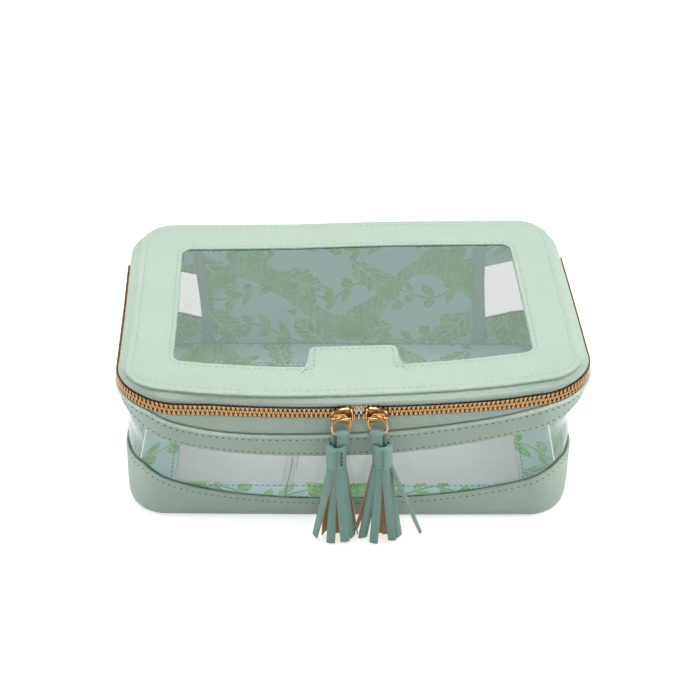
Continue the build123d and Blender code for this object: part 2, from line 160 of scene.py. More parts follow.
class Finish:
    """A material under construction."""

    def __init__(self, name):
        self.material = bpy.data.materials.new(name)
        self.material.use_nodes = True
        self.tree = self.material.node_tree
        self.tree.nodes.clear()

    def node(self, kind, settings=(), inputs=(), output=0):
        """Adds a node, sets its settings and then its sockets, and gives one of its outputs."""
        made = self.tree.nodes.new(kind)
        for key, value in dict(settings).items():
            setattr(made, key, value)
        for key, value in dict(inputs).items():
            if isinstance(value, Signal):
                self.tree.links.new(value.socket, made.inputs[key])
            else:
                made.inputs[key].default_value = value
        return Signal(self, made.outputs[output])

    def cloth(self):
        """The piece's own map, which is laid out in millimetres along and across the sheet."""
        return self.node("ShaderNodeUVMap", {"uv_map": "cloth"})

    def place(self):
        """Object coordinates in millimetres."""
        here = self.node("ShaderNodeTexCoord", output="Object")
        return self.vector("SCALE", here, Scale=1000.0)

    def vector(self, operation, *terms, **named):
        """A Vector Math node on vectors or sockets."""
        inputs = {**dict(enumerate(terms)), **named}
        return self.node("ShaderNodeVectorMath", {"operation": operation}, inputs)

    def parts(self, point):
        """The X and Y of a point."""
        split = self.node("ShaderNodeSeparateXYZ", {}, {0: point})
        return split, Signal(self, split.socket.node.outputs[1])

    def noise(self, point, size, detail=2.0, rough=0.5, output=0):
        """Smooth noise whose blobs are about size millimetres wide."""
        inputs = {"Vector": point, "Scale": 1.0 / size, "Detail": detail, "Roughness": rough}
        return self.node("ShaderNodeTexNoise", {}, inputs, output)

    def mix(self, share, first, second):
        """A colour between two colours."""
        return self.node("ShaderNodeMix", {"data_type": "RGBA"}, {0: share, 6: first, 7: second}, 2)

    def bump(self, height, distance, strength=1.0):
        """A normal from a height map, for heights up to distance millimetres."""
        inputs = {"Height": height, "Distance": distance * MM, "Strength": strength}
        return self.node("ShaderNodeBump", {}, inputs)

    def close(self, **sockets):
        """Ends the finish in one Principled shader, with the sockets given by name."""
        named = {key.replace("_", " "): value for key, value in sockets.items()}
        return self.end(self.node("ShaderNodeBsdfPrincipled", {}, named))

    def end(self, shader):
        """Joins a shader to the material's surface and gives the material."""
        last = self.tree.nodes.new("ShaderNodeOutputMaterial")
        self.tree.links.new(shader.socket, last.inputs[0])
        return self.material


def tint(red, green, blue):
    """A screen colour, 0 to 255, as the linear colour that shaders use."""
    shown = np.array([red, green, blue]) / 255
    linear = np.where(shown > 0.04045, ((shown + 0.055) / 1.055) ** 2.4, shown / 12.92)
    return (*linear.tolist(), 1.0)


# %% [markdown]
# The paper of the sweep glows a little for rays that come from the camera, go through a clear sheet or
# are mirrored, so it looks white in all three.  Light that falls on the case doesn't see that glow.


# %% White sweep and surroundings
def white_sweep():
    """The floor: white paper that shows pure white to the camera wherever it is lit."""
    made = Finish("white_sweep")
    rays = ("Is Camera Ray", "Is Transmission Ray", "Is Glossy Ray")
    camera_ray, through, mirrored = (made.node("ShaderNodeLightPath", output=ray) for ray in rays)
    shown = camera_ray + through + mirrored
    paper = made.node("ShaderNodeBsdfDiffuse", {}, {0: (0.8, 0.8, 0.8, 1)})
    glow = made.node("ShaderNodeEmission", {}, {0: (1, 1, 1, 1), 1: shown.of("MINIMUM", 1.0) * 0.62})
    return made.end(made.node("ShaderNodeAddShader", {}, {0: paper, 1: glow}))


floor_mesh = bpy.data.meshes.new("floor")
floor_mesh.from_pydata([(-6, -6, 0), (6, -6, 0), (6, 6, 0), (-6, 6, 0)], [], [(0, 1, 2, 3)])
floor_mesh.materials.append(white_sweep())
floor = bpy.data.objects.new("floor", floor_mesh)
bpy.context.scene.collection.objects.link(floor)

world = bpy.data.worlds.new("studio")
bpy.context.scene.world = world
world.use_nodes = True
sky = world.node_tree.nodes
path = sky.new("ShaderNodeLightPath")
seen = sky.new("ShaderNodeMath")
seen.operation = "MAXIMUM"
strength = sky.new("ShaderNodeMapRange")
strength.inputs["To Min"].default_value = 0.2
strength.inputs["To Max"].default_value = 1.0
sky["Background"].inputs["Color"].default_value = (1, 1, 1, 1)
for source, target in (
    (path.outputs["Is Camera Ray"], seen.inputs[0]),
    (path.outputs["Is Transmission Ray"], seen.inputs[1]),
    (seen.outputs[0], strength.inputs[0]),
    (strength.outputs[0], sky["Background"].inputs["Strength"]),
):
    world.node_tree.links.new(source, target)

# %% [markdown]
# ## Finishes
#
# The leather is embossed with a fine cross-grain: two sets of short slanting ridges that cross.  Its
# map is laid out in millimetres, so that the grain has one size on every piece.


# %% Leather and thread
def grain(made, pitch):
    """Cross-grain: the product of two slanting waves, broken up by noise.  Gives a height map."""
    spot = made.cloth()
    drift = made.noise(spot, 3.0, output=1)
    along, across = made.parts(made.vector("ADD", spot, made.vector("SCALE", drift, Scale=1.7)))
    k = tau / pitch
    one = ((along + across * 0.62) * k).of("SINE")
    two = ((along - across * 0.62) * k).of("SINE")
    return one * two * 0.55 + made.noise(spot, 1.1, 2.0) * 1.6 - 0.4


def leather(name, colour, dark, pitch=1.3, rough=0.52):
    """Embossed coated leather: grain with painted shade in its hollows, slow changes of tone and a soft
    sheen.
    """
    made = Finish(name)
    spot = made.place()
    tone = made.noise(spot, 26.0, 3.0) * 0.6 + made.noise(spot, 1.1, 1.0) * 0.25
    ridges = grain(made, pitch)
    base = made.mix(tone.step(0.2, 0.75), dark, colour)
    # The hollows of the grain are darkened towards grey green: painted shade.
    base = made.mix((ridges * 0.5 + 0.1).step(0.6, -0.6) * 0.22, base, tint(120, 145, 128))
    soft = made.noise(spot, 14.0, 2.0)
    return made.close(
        Base_Color=base,
        Roughness=rough + soft * 0.1 - ridges * 0.04,
        Specular_IOR_Level=0.38,
        Coat_Weight=0.06,
        Coat_Roughness=0.3,
        Normal=made.bump(ridges + soft * 0.9, 0.2, 1.0),
    )


def plain_finish(name, colour, other, size, rough, metal=0.0, depth=0.02, **constants):
    """Two near tones in blobs of one size, with the same blobs in its gloss and its surface."""
    made = Finish(name)
    blobs = made.noise(made.place(), size, 3.0, 0.6)
    return made.close(
        Base_Color=made.mix(blobs, colour, other),
        Roughness=rough + blobs * 0.12,
        Metallic=metal,
        Normal=made.bump(blobs, depth, 0.5),
        **constants,
    )


case_leather = leather("case_leather", tint(195, 213, 199), tint(188, 207, 193))
# A lighter copy of the case leather for the raised seam: painted highlight along its ridge.
ridge_highlight_leather = leather("ridge_highlight_leather", tint(216, 233, 221), tint(210, 228, 216))
tassel_leather = leather("tassel_leather", tint(140, 178, 168), tint(130, 168, 158), 0.9, 0.58)
tassel_back = plain_finish("tassel_back", tint(226, 192, 158), tint(205, 166, 132), 0.7, 0.85)
thread = plain_finish("thread", tint(168, 202, 180), tint(140, 172, 152), 0.3, 0.7)
# A darker copy of the thread for the rows off the lid: painted shade of the sunk needle holes.
shaded_thread = plain_finish("shaded_thread", tint(92, 118, 106), tint(74, 98, 90), 0.3, 0.8)
binding_cloth = plain_finish("binding_cloth", tint(168, 196, 190), tint(150, 180, 176), 0.5, 0.8)
board = plain_finish("board", tint(206, 204, 198), tint(190, 188, 182), 1.5, 0.9)
brass = plain_finish("brass", tint(212, 170, 116), tint(112, 80, 48), 0.7, 0.25, 1.0, 0.05)
gold = plain_finish("gold", tint(220, 176, 122), tint(168, 120, 72), 1.3, 0.16, 1.0, 0.03, Coat_Weight=0.2)


# %% [markdown]
# The clear sheet is thin enough that what is behind it is seen unbent, so it is a mostly transparent
# shader rather than glass.  It turns more mirror-like where it is seen edge on, as any gloss does.


# %% Clear sheet
def clear_finish(name, veil, colour, wave=3.0, back_shade=0.0, coat=1.0):
    """Thin clear sheet: see-through, with a faint milky veil, slow waves and an edge-on shine.

    Where the sheet runs round the back corners, its veil turns dark grey and thicker by the share given:
    painted shade.
    """
    made = Finish(name)
    spot = made.place()
    facing = made.node("ShaderNodeLayerWeight", {}, {"Blend": 0.5}, "Facing")
    rim = facing**4.0
    haze = made.noise(spot, 40.0, 2.0) * 0.03
    waves = made.noise(spot, 18.0, 1.5, 0.4)
    _, depth = made.parts(spot)
    behind = depth.step(40.0, 70.0)
    return made.close(
        # Towards the back the veil turns dark grey: painted shade.
        Base_Color=made.mix(behind * back_shade + haze, colour, tint(70, 74, 74)),
        Roughness=0.07 + haze,
        Alpha=(rim * 0.7 + veil + haze + behind * back_shade * 0.2).of("MINIMUM", 0.9),
        Specular_IOR_Level=1.0,
        Coat_Weight=coat,
        Coat_Roughness=0.03,
        Normal=made.bump(waves, wave, 0.5),
    )


clear = clear_finish("clear_sheet", 0.13, tint(214, 222, 218))
# The side walls are darkened towards the back corners: painted shade.
clear_side = clear_finish("clear_side", 0.11, tint(212, 220, 218), back_shade=0.95)
# The floor's sheet has a thick grey veil: painted shade of the case's shadow on the floor below it.
shaded_clear_floor = clear_finish("shaded_clear_floor", 0.5, tint(208, 214, 213), wave=0.4, coat=0.2)


# %% [markdown]
# The lining is a pale blue cloth printed in greens.  The print is worked out in the cloth's own plane
# from three motifs: a broad garland with overlapping scales that waves across the cloth, thin stems
# with pairs of leaves, and single ribbed leaves, each in its own cell and turned its own way.


# %% Printed lining
def leaf(along, across, length, width):
    """1 inside a pointed leaf: its half width falls off as one less the square of the way along it."""
    reach_along = (along / (length / 2)).of("ABSOLUTE")
    edge = (1.0 - reach_along * reach_along) * (width / 2)
    return (edge - across.of("ABSOLUTE")).step(-0.15, 0.3)


def turned(x, y, angle):
    """A point turned about the origin."""
    c, s = angle.of("COSINE"), angle.of("SINE")
    return x * c + y * s, y * c - x * s


def trail(x, y, spacing, swing_by, period, shift):
    """A stem that follows a sine wave, with a pair of leaves at every fifth of its period."""
    row = ((y + shift) / spacing).of("FLOOR")
    offset = row * 1.7
    wave = ((x * (tau / period)) + offset).of("SINE") * swing_by
    lane = (y + shift) - (row + 0.5) * spacing - wave
    stem = lane.of("ABSOLUTE").step(1.0, 0.6)
    pitch = period / 5
    cell = ((x + offset * 3.0) / pitch).of("FRACT") - 0.5
    from_stem, from_node = lane.of("ABSOLUTE") - 5.2, cell * pitch - 1.5
    along = from_node * 0.62 + from_stem * 0.78
    across = from_node * 0.78 - from_stem * 0.62
    inside = leaf(along, across + lane.of("SIGN") * 0.3, 11.5, 6.0)
    rib = across.of("ABSOLUTE").step(0.2, 0.5)
    return stem.of("MAXIMUM", inside * (0.55 + rib * 0.45))


def garland(x, y):
    """A broad wavy ribbon of scales, 20 mm wide: where it is, and how dark its scales are there."""
    row = (y / 86.0).of("FLOOR")
    lane = y - (row + 0.5) * 86.0 - ((x + row * 31.0) * (tau / 118.0)).of("SINE") * 26.0
    swell = 10.0 + (x * (tau / 59.0)).of("SINE") * 2.5
    inside = (swell - lane.of("ABSOLUTE")).step(-0.4, 0.6)
    across_scale = (lane * (math.pi / 3.1)).of("SINE").of("ABSOLUTE")
    scale = ((x * (tau / 4.2)) + across_scale * 3.0).of("SINE")
    return inside, scale.step(-0.5, 0.7)


def printed_finish(name, ground, shade, green, deep):
    """Woven cloth with a print of garlands, stems and ribbed leaves in two greens.

    Single leaves sit at the seeds of 52 mm cells and turn by a chance value of their cell.  Each has
    lobes, a midrib, ribs left bare, a bud and a stalk.
    """
    made = Finish(name)
    cloth = made.cloth()
    wobble = made.noise(cloth, 30.0, 1.0, output=1)
    drift = made.vector("SCALE", made.vector("SUBTRACT", wobble, (0.5, 0.5, 0.5)), Scale=14.0)
    spot = made.vector("ADD", cloth, drift)
    x, y = made.parts(spot)
    vines = trail(x, y, 37.0, 8.0, 66.0, 8.0)
    cell_size = 52.0
    cells = {"voronoi_dimensions": "2D"}
    sockets = {"Vector": spot, "Scale": 1.0 / cell_size, "Randomness": 0.4}
    seeds = made.node("ShaderNodeTexVoronoi", cells, sockets, "Position")
    dice = made.node("ShaderNodeTexVoronoi", cells, sockets, "Color")
    seed_x, seed_y = made.parts(seeds)
    chance, _ = made.parts(dice)
    px, py = turned(x - seed_x, y - seed_y, chance * tau)
    lobes = (px * 0.95 + py.of("ABSOLUTE") * 0.9).of("SINE") * 0.9
    broad = leaf(px + lobes * 0.2, py + py * lobes * 0.16, 40.0, 19.0)
    vein = py.of("ABSOLUTE").step(0.7, 0.3)
    ribs = ((px * 0.9 - py.of("ABSOLUTE") * 0.8) * 1.3).of("SINE").step(0.55, 0.95)
    bud = ((px - 24.0) * (px - 24.0) + (py - 5.0) * (py - 5.0)).of("SQRT").step(4.2, 3.6)
    stalk = leaf(px - 21.0, py - 1.5, 16.0, 1.6)
    band, scales = garland(x, y)
    sprigs = vines.of("MAXIMUM", broad).of("MAXIMUM", bud).of("MAXIMUM", stalk)
    motif = sprigs.of("MAXIMUM", band * (scales * 0.45 + 0.55))
    weave = (x * (tau / 0.55)).of("SINE") * (y * (tau / 0.55)).of("SINE")
    ink = made.mix(made.noise(spot, 9.0, 3.0).step(0.35, 0.7), green, deep)
    ink = made.mix(broad * vein.of("MAXIMUM", ribs * 0.7) * (1.0 - band), ink, ground)
    cloth_tone = made.mix(made.noise(spot, 16.0, 2.0), ground, shade)
    worn = made.noise(cloth, 1.3, 2.0).step(0.28, 0.5)
    return made.close(
        Base_Color=made.mix(motif * (worn * 0.25 + 0.72), cloth_tone, ink),
        Roughness=0.72 + weave * 0.05,
        Sheen_Weight=0.15,
        Specular_IOR_Level=0.25,
        Normal=made.bump(weave + made.noise(spot, 12.0, 2.0) * 6.0, 0.12, 0.6),
    )


lining_print = printed_finish(
    "lining_print", tint(212, 246, 250), tint(200, 236, 244), tint(134, 214, 112), tint(100, 186, 84)
)


def woven_tape(name, colour, dark):
    """Zip tape: a fine twill, drawn by slanting ribs 0.8 mm apart."""
    made = Finish(name)
    along, across = made.parts(made.cloth())
    ribs = ((along + across) * (tau / 0.8)).of("SINE")
    return made.close(
        Base_Color=made.mix(ribs.step(-0.6, 0.8), dark, colour),
        Roughness=0.8 + ribs * 0.05,
        Normal=made.bump(ribs, 0.08, 0.7),
    )


zip_cloth = woven_tape("zip_cloth", tint(158, 182, 166), tint(132, 156, 142))
print("finishes", len(bpy.data.materials))

# %% [markdown]
# ## Sheets as grids
#
# Every sewn piece is a grid of points: one parameter runs round the case and the other runs round the
# thickness of the sheet.  The grid is closed into a solid, its doubled points are merged, and its
# faces are turned outwards by the sign of the volume they enclose.


# %% From a grid of points to a piece
def unit(vectors):
    """Vectors of length 1 in the same directions."""
    return vectors / np.linalg.norm(vectors, axis=-1, keepdims=True)


def lengths(line):
    """Way along a line from its first point to each of its points: the sum of the steps so far."""
    return np.concatenate([[0], np.cumsum(np.linalg.norm(np.diff(line, axis=0), axis=1))])


def directions(line):
    """Direction of a line at each point: from the point before it to the one after it."""
    ahead = np.roll(line, -1, 0) - np.roll(line, 1, 0)
    ahead[0], ahead[-1] = line[1] - line[0], line[-1] - line[-2]
    return unit(ahead)


def solid_volume(points, faces):
    """Signed volume under a mesh of quads: the sum of its tetrahedra with the origin."""
    a, b, c, d = (points[faces[:, k]] for k in range(4))
    return np.einsum("ij,ij->", a, np.cross(b, c)) + np.einsum("ij,ij->", a, np.cross(c, d))


def finish_mesh(name, points, faces, body, finish, maps=None, slots=None, slot_index=None, smooth=True):
    """Puts points (metres) and quads into a mesh, closes its seams and hangs it on a body."""
    faces = np.asarray(faces, int)
    if solid_volume(points - points.mean(0), faces) < 0:
        faces = faces[:, ::-1]
        maps = None if maps is None else maps.reshape(-1, 4, 2)[:, ::-1].reshape(-1, 2)
    mesh = bpy.data.meshes.new(name)
    mesh.vertices.add(len(points))
    mesh.vertices.foreach_set("co", points.astype(np.float32).ravel())
    mesh.loops.add(faces.size)
    mesh.loops.foreach_set("vertex_index", faces.astype(np.int32).ravel())
    mesh.polygons.add(len(faces))
    mesh.polygons.foreach_set("loop_start", np.arange(0, faces.size, 4, dtype=np.int32))
    for each in [finish, *(slots or [])]:
        mesh.materials.append(each)
    if slot_index is not None:
        mesh.polygons.foreach_set("material_index", np.asarray(slot_index, np.int32))
    mesh.polygons.foreach_set("use_smooth", np.full(len(faces), smooth))
    layer = mesh.uv_layers.new(name="cloth")
    if maps is not None:
        layer.data.foreach_set("uv", maps.astype(np.float32).ravel())
    mesh.update(calc_edges=True)
    shape = bmesh.new()
    shape.from_mesh(mesh)
    bmesh.ops.remove_doubles(shape, verts=shape.verts, dist=2e-6)
    shape.to_mesh(mesh)
    shape.free()
    mesh.validate()
    made = bpy.data.objects.new(name, mesh)
    bpy.context.scene.collection.objects.link(made)
    if body is not None:
        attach(made, body)
    return made


def grid_faces(rows, columns, start=0):
    """Corner numbers of the quads of a grid of rows by columns points."""
    index = start + np.arange(rows * columns).reshape(rows, columns)
    return np.stack([index[:-1, :-1], index[1:, :-1], index[1:, 1:], index[:-1, 1:]], -1).reshape(-1, 4)


def joined(grids):
    """Points and quads of several grids as one set."""
    starts = np.cumsum([0] + [g.shape[0] * g.shape[1] for g in grids])
    faces = [grid_faces(*g.shape[:2], start) for g, start in zip(grids, starts)]
    return np.concatenate([g.reshape(-1, 3) for g in grids]), np.concatenate(faces)


def copies(shape, faces, here, *axes):
    """One small grid at many places, its x, y and z turned to three directions at each place."""
    flat = shape.reshape(-1, 3)
    points = here[:, None] + sum(axis[:, None] * flat[:, k, None] for k, axis in enumerate(axes))
    shift = len(flat) * np.arange(len(here))[:, None, None]
    return points.reshape(-1, 3), (faces + shift).reshape(-1, 4)


def skin(name, grid, body, finish, cloth=None):
    """A closed sheet from a grid (along, round, 3) whose second way runs once round its section.

    Its first way may run round the case or stop at two ends, which are then closed by folding each
    end section on itself, point for point with its opposite point.
    """
    rows, columns = grid.shape[:2]
    faces = [grid_faces(rows, columns)]
    points = [grid.reshape(-1, 3)]
    maps = [np.zeros((rows * columns, 2)) if cloth is None else cloth.reshape(-1, 2)]
    if not np.allclose(grid[0], grid[-1], atol=1e-6):
        for row in (0, rows - 1):
            section = grid[row, :-1]
            half = len(section) // 2
            pair = np.stack([section[: half + 1], np.roll(section[::-1], 1, 0)[: half + 1]])
            if row == 0:
                pair = pair[::-1]
            here = sum(len(p) for p in points)
            faces.append(grid_faces(2, half + 1, here))
            points.append(pair.reshape(-1, 3))
            maps.append(np.zeros((pair.shape[0] * pair.shape[1], 2)))
    faces, points, maps = np.concatenate(faces), np.concatenate(points), np.concatenate(maps)
    return finish_mesh(name, points, faces, body, finish, maps[faces.ravel()])


# %% [markdown]
# ## The shape of the case
#
# In plan the case has straight sides and back, round corners and a bowed front.  The bow, the width and
# the tuck at the floor change with the height.  One function gives the wall at any place and height,
# and how far a layer lies inside or outside it, so that all layers nest.


# %% Plan
KNOTS = np.array([0.0, 0.26, 0.39, 0.62, 0.75, 0.77, 1.0])
SEAM = KNOTS[5]
SEAM_X = (92.0, 85.0)


def smooth(z, knots, values):
    """A smooth curve through values at knots, flat at its ends and without overshoot."""
    knots, values = np.asarray(knots, float), np.asarray(values, float)
    step, rise = np.diff(knots), np.diff(values)
    slope = rise / step
    mean = 2 / (1 / (slope[1:] + 1e-12) + 1 / (slope[:-1] + 1e-12))
    bend = np.concatenate([[0], np.where(slope[1:] * slope[:-1] > 0, mean, 0), [0]])
    z = np.clip(z, knots[0], knots[-1])
    k = np.clip(np.searchsorted(knots, z, side="right") - 1, 0, len(step) - 1)
    t = (z - knots[k]) / step[k]
    return (
        values[k]
        + t * step[k] * bend[k]
        + t**2 * (3 * rise[k] - step[k] * (2 * bend[k] + bend[k + 1]))
        + t**3 * (step[k] * (bend[k] + bend[k + 1]) - 2 * rise[k])
    )


def plan(v, half, front, back, radius, bow, rear):
    """Point and outward normal of a plan, for v from -1 to 1.

    v runs from the middle of the back, by the left, the front and the right.  The front and the corners
    are arcs, the sides and the back are straight.  radius is that of the front corners and rear that of
    the back ones; the back seams keep their x.
    """
    sizes = np.broadcast_arrays(v, half, front, back, radius, bow, rear)
    v, half, front, back, radius, bow, rear = sizes
    w = np.abs(v)
    big = (half**2 + bow**2) / (2 * bow)
    far = big - front - bow
    cx = half - radius
    drop = np.sqrt((big - radius) ** 2 - cx**2)
    cy = far - drop
    start = np.arctan2(-drop, cx)
    s = [(w - KNOTS[k]) / (KNOTS[k + 1] - KNOTS[k]) for k in range(6)]
    a0 = -math.pi / 2 + (start + math.pi / 2) * s[0]
    a1 = start * (1 - s[1])
    a3 = s[3] * math.pi / 2
    pick = [w <= knot for knot in KNOTS[1:6]]
    zero, one = np.zeros_like(w), np.ones_like(w)
    side_y = cy + (back - rear - cy) * s[2]
    rx = half - rear
    seam = np.minimum(np.where(v < 0, *SEAM_X), rx)
    nx = np.select(pick, [np.cos(a0), np.cos(a1), one, np.cos(a3), zero], zero)
    ny = np.select(pick, [np.sin(a0), np.sin(a1), zero, np.sin(a3), one], one)
    x_of = [big * nx, cx + radius * nx, half, rx + rear * nx, rx + (seam - rx) * s[4]]
    y_of = [far + big * ny, cy + radius * ny, side_y, back - rear + rear * ny, back]
    left = np.where(v < 0, -1.0, 1.0)
    return np.select(pick, x_of, seam * (1 - s[5])) * left, np.select(pick, y_of, back), nx * left, ny


# %% [markdown]
# The plan's sizes are listed by height, from the floor's edge by the zip to the top of the lid.  Last
# of all, every point is moved by the sag and twist of a soft case, by one function for all pieces.


# %% Heights, sag and wall
HEIGHTS = [0, 12, 33, 55, 82.4, 90.3, 94.4, 99.4]
HALVES = [128.5, 128.5, 128.5, 128.5, 131.2, 131.7, 130.2, 124.6]
FRONTS = [79, 79, 79, 79, 79.5, 79.5, 79.0, 76.9]
BACKS = [79, 79, 79, 79, 79.5, 79.5, 78.6, 74.6]
BOWS = [0.8, 0.9, 3.65, 6.5, 8.5, 8.5, 8.5, 8.5]
RADII = [23, 23, 29.5, 36, 36, 36, 32, 20]
REARS = [23, 23, 25.5, 28, 28, 28, 26, 20]


def settle(points):
    """The sag and twist of a soft case, for points (..., 3) in millimetres about its middle.

    The case is turned by -1.6 degrees at the floor and 0.8 degrees at the lid.  Slow waves move its walls
    by half a millimetre, but not the track of the sliders, which stays on their arc.  The lid's back left
    corner is lifted by 2.2 mm, and its front corners by 3 mm, with a little backward lean.
    """
    x, y, z = points[..., 0], points[..., 1], points[..., 2]
    share = smooth(z, [0, 20, 70, 101], [0, 0.15, 0.9, 1])
    turn = np.radians(-1.6 + 2.4 * share)
    dull = 0.5 * np.sin(x / 31 + 1.3) * np.sin(y / 27 + z / 19) * np.clip(z / 20, 0, 1)
    track = smooth(z, [76, 85, 96, 101], [0, 1, 1, 0])
    track = track * np.clip((-y - 60) / 10, 0, 1) * np.clip((98 - np.abs(x)) / 20, 0, 1)
    dull = dull * (1 - track)
    x2 = x * np.cos(turn) - y * np.sin(turn)
    y2 = x * np.sin(turn) * (1 - track) + y * np.cos(turn)
    z2 = z + 0.4 * np.sin(x / 37 + 0.7) * np.clip((z - 10) / 40, 0, 1)
    skew = smooth(z, [60, 84, 94, 99], [0, 1, 1, 0])
    slide = smooth(z, [0, 50, 84], [-1.5, -1.5, 0])
    x2 = x2 - skew * 0.012 * (y + 10) + slide
    corner = np.clip((-x - 30) / 90, 0, 1) * np.clip((y - 5) / 65, 0, 1) * smooth(z, [60, 100], [0, 1])
    z2 = z2 + 2.2 * corner * (2 - corner)
    horn = np.clip((-y - 42) / 34, 0, 1) ** 1.3 * np.minimum(np.abs(x) / 122, 1) ** 2.4
    z2 = z2 + horn * smooth(z, [68, 90, 101], [0, 2.6, 3.0])
    y2 = y2 + horn * smooth(z, [86, 99], [0, 2.4])
    return np.stack([x2 + dull * 0.5, y2 + dull, z2], -1)


def place_in_case(points):
    """From millimetres about the middle of the case to metres in the model's frame."""
    moved = settle(points)
    moved[..., 1] += middle
    return moved * MM


def wall(v, z, out):
    """A point of the wall: the plan at height z, moved outwards by out.  The bottom 6 mm roll under."""
    v, z, out = np.broadcast_arrays(*(np.asarray(a, float) for a in (v, z, out)))
    low = np.clip(1 - z / 6, 0, 1)
    tuck = 4 * (1 - np.sqrt(1 - low**2))
    sizes = [smooth(z, HEIGHTS, row) for row in (HALVES, FRONTS, BACKS, RADII, BOWS, REARS)]
    x, y, nx, ny = plan(v, *sizes)
    return np.stack([x + nx * (out - tuck), y + ny * (out - tuck), z], -1)


def along_wall(v):
    """Distance round the case, in millimetres, for each column, at mid height."""
    return lengths(wall(v, 60.0, 0.0))


# %% [markdown]
# A wall piece is a sheet with rounded, turned edges.  Its section goes up the outer face, over the top
# edge, down the inner face and under the bottom edge.


# %% Sheets of the wall
def section(bottom, top, outer, thick, rows, crown=0.0):
    """Heights and offsets once round a sheet: outer face up, half circle, inner face down, half circle."""
    edge = thick / 2
    t = np.linspace(0, 1, rows)
    arc = np.linspace(0, math.pi, 6)[1:-1]
    bottom, top = np.atleast_1d(bottom)[:, None], np.atleast_1d(top)[:, None]
    up = bottom + edge + (top - bottom - 2 * edge) * t
    z = [up, top - edge + edge * np.sin(arc), up[:, ::-1], bottom + edge - edge * np.sin(arc)]
    face = outer + crown * np.sin(math.pi * t)
    over = edge * np.cos(arc)
    out = np.concatenate([face, outer - edge + over, outer - thick + 0 * t, outer - edge - over])
    z = np.concatenate([np.broadcast_to(a, (len(up), a.shape[1])) for a in z], 1)
    out = np.broadcast_to(out, z.shape)
    return np.concatenate([z, z[:, :1]], 1), np.concatenate([out, out[:, :1]], 1)


def wall_sheet(name, body, finish, v, bottom, top, outer, thick, rows=14, crown=0.0, warp=None):
    """A sheet of the wall between two edges, over the columns v."""
    bottom, top = np.broadcast_to(bottom, v.shape), np.broadcast_to(top, v.shape)
    z, out = section(bottom, top, outer, thick, rows, crown)
    if warp is not None:
        out = out + warp(v[:, None], z)
    points = wall(v[:, None], z, out)
    cloth = np.stack([np.broadcast_to(along_wall(v)[:, None], z.shape), z + (out - outer) * 0.7], -1)
    return skin(name, place_in_case(points), body, finish, cloth)


# %% [markdown]
# The edges of skirt, band and seam are arches: low in the middle of the front and high at the corners,
# a little differently on the left and on the right.


# %% Columns and edges
ROUND = np.linspace(-1, 1, 401)
sides = np.linspace(-SEAM, SEAM, 361)
back_wall = np.concatenate([np.linspace(SEAM, 1, 24), np.linspace(-1, -SEAM, 24)[1:]])


def arch(v, level, low, left, right):
    """Height of an edge: low plus rise times a power of its way out from the middle of the front.

    left and right give (rise, reach, power), where reach is the x at which the full rise is met.  The
    back half has a longer reach and a steeper curve.
    """
    x, y, _ = np.moveaxis(wall(v, level, 0.0), -1, 0)
    rise, reach, power = np.moveaxis(np.where(x[..., None] < 0, left, right), -1, 0)
    reach = np.where(y > 0, 130.0, reach)
    power = np.where(y > 0, power + 0.8, power)
    return low + rise * (np.minimum(np.abs(x), reach) / reach) ** power


def height_of_skirt(v):
    """The skirt's top edge, a boat shape."""
    return arch(v, 30.0, 15.8, (23.5, 118.0, 2.8), (21.0, 121.0, 2.2))


def height_of_band(v):
    """The upper band's lower edge, which climbs to each side as the skirt's does."""
    return arch(v, 60.0, 55.7, (21.0, 124.0, 3.2), (21.0, 124.0, 1.9))


def height_of_seam(v):
    """The raised seam above the band; the strip between it and the zip runs out at the front corners."""
    return arch(v, 60.0, 72.3, (12.4, 109.0, 4.2), (12.8, 102.0, 1.6))


skirt_top = height_of_skirt(sides)
band_low = height_of_band(sides)
seam_line = height_of_seam(sides)

# %% [markdown]
# The leather of the wall is a skirt, an upper band and a strip below the zip, with a raised seam
# between band and strip.  Each is one sheet over the same columns, so a table of edges, offset and
# thickness makes them all.  The strip is drawn in above the seam, which leaves a dark groove there.


# %% Leather of the wall
def tucked(v, z):
    """The groove above the raised seam: a bell curve of height, 1 mm deep."""
    return -np.exp(-(((z - height_of_seam(v) - 1.9) / 0.8) ** 2))


for name, node, finish, low, high, outer, thick, rows, crown, warp in (
    ("skirt_leather", "skirt", case_leather, 0.9, skirt_top, 0.35, 1.4, 22, 0, None),
    ("upper_band_leather", "upper_band", case_leather, band_low, seam_line + 1, 0.35, 1.35, 14, 0, None),
    ("zip_gusset_leather", "zip_gusset", case_leather, seam_line - 1, 86.9, 0, 1.1, 20, 0.35, tucked),
    # The raised seam takes the lighter leather: painted highlight.
    ("band_ridge", "band_welt", ridge_highlight_leather, seam_line - 0.6, seam_line + 1.5, 1.2, 1.5, 8, 0.6, None),
):
    sheet = wall_sheet(name, "tub", finish, sides, low, high, outer, thick, rows, crown, warp)
    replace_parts(sheet, node)
    print(name, len(sheet.data.polygons), "faces")
back_sheet = wall_sheet("back_leather", "tub", case_leather, back_wall, 0.9, 84.4, 0.1, 1.2, 30)
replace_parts(back_sheet, "back_panel")

# %% [markdown]
# ## Clear walls
#
# The clear sheet runs behind the skirt and the band.  Between them it is free, so it buckles: shallow
# slanting folds, strongest at the corners where the sheet has to bend.


# %% Clear wall sheets
def buckles(v, z):
    """Folds of the free sheet: slanting waves that fade out at the skirt, at the band and on the flat."""
    low, high = height_of_skirt(v) + 1, height_of_band(v) - 1
    free = np.clip((z - low) / (high - low), 0, 1)
    w = np.abs(v)
    corner = np.exp(-(((w - 0.33) / 0.10) ** 2)) + 0.8 * np.exp(-(((w - 0.70) / 0.09) ** 2)) + 0.12
    fold = np.sin(v * 95 + z * 0.16) * 0.5 + np.sin(v * 41 - z * 0.11 + 1) * 0.7
    return -0.5 * corner * np.sin(math.pi * free) * (1 + fold)


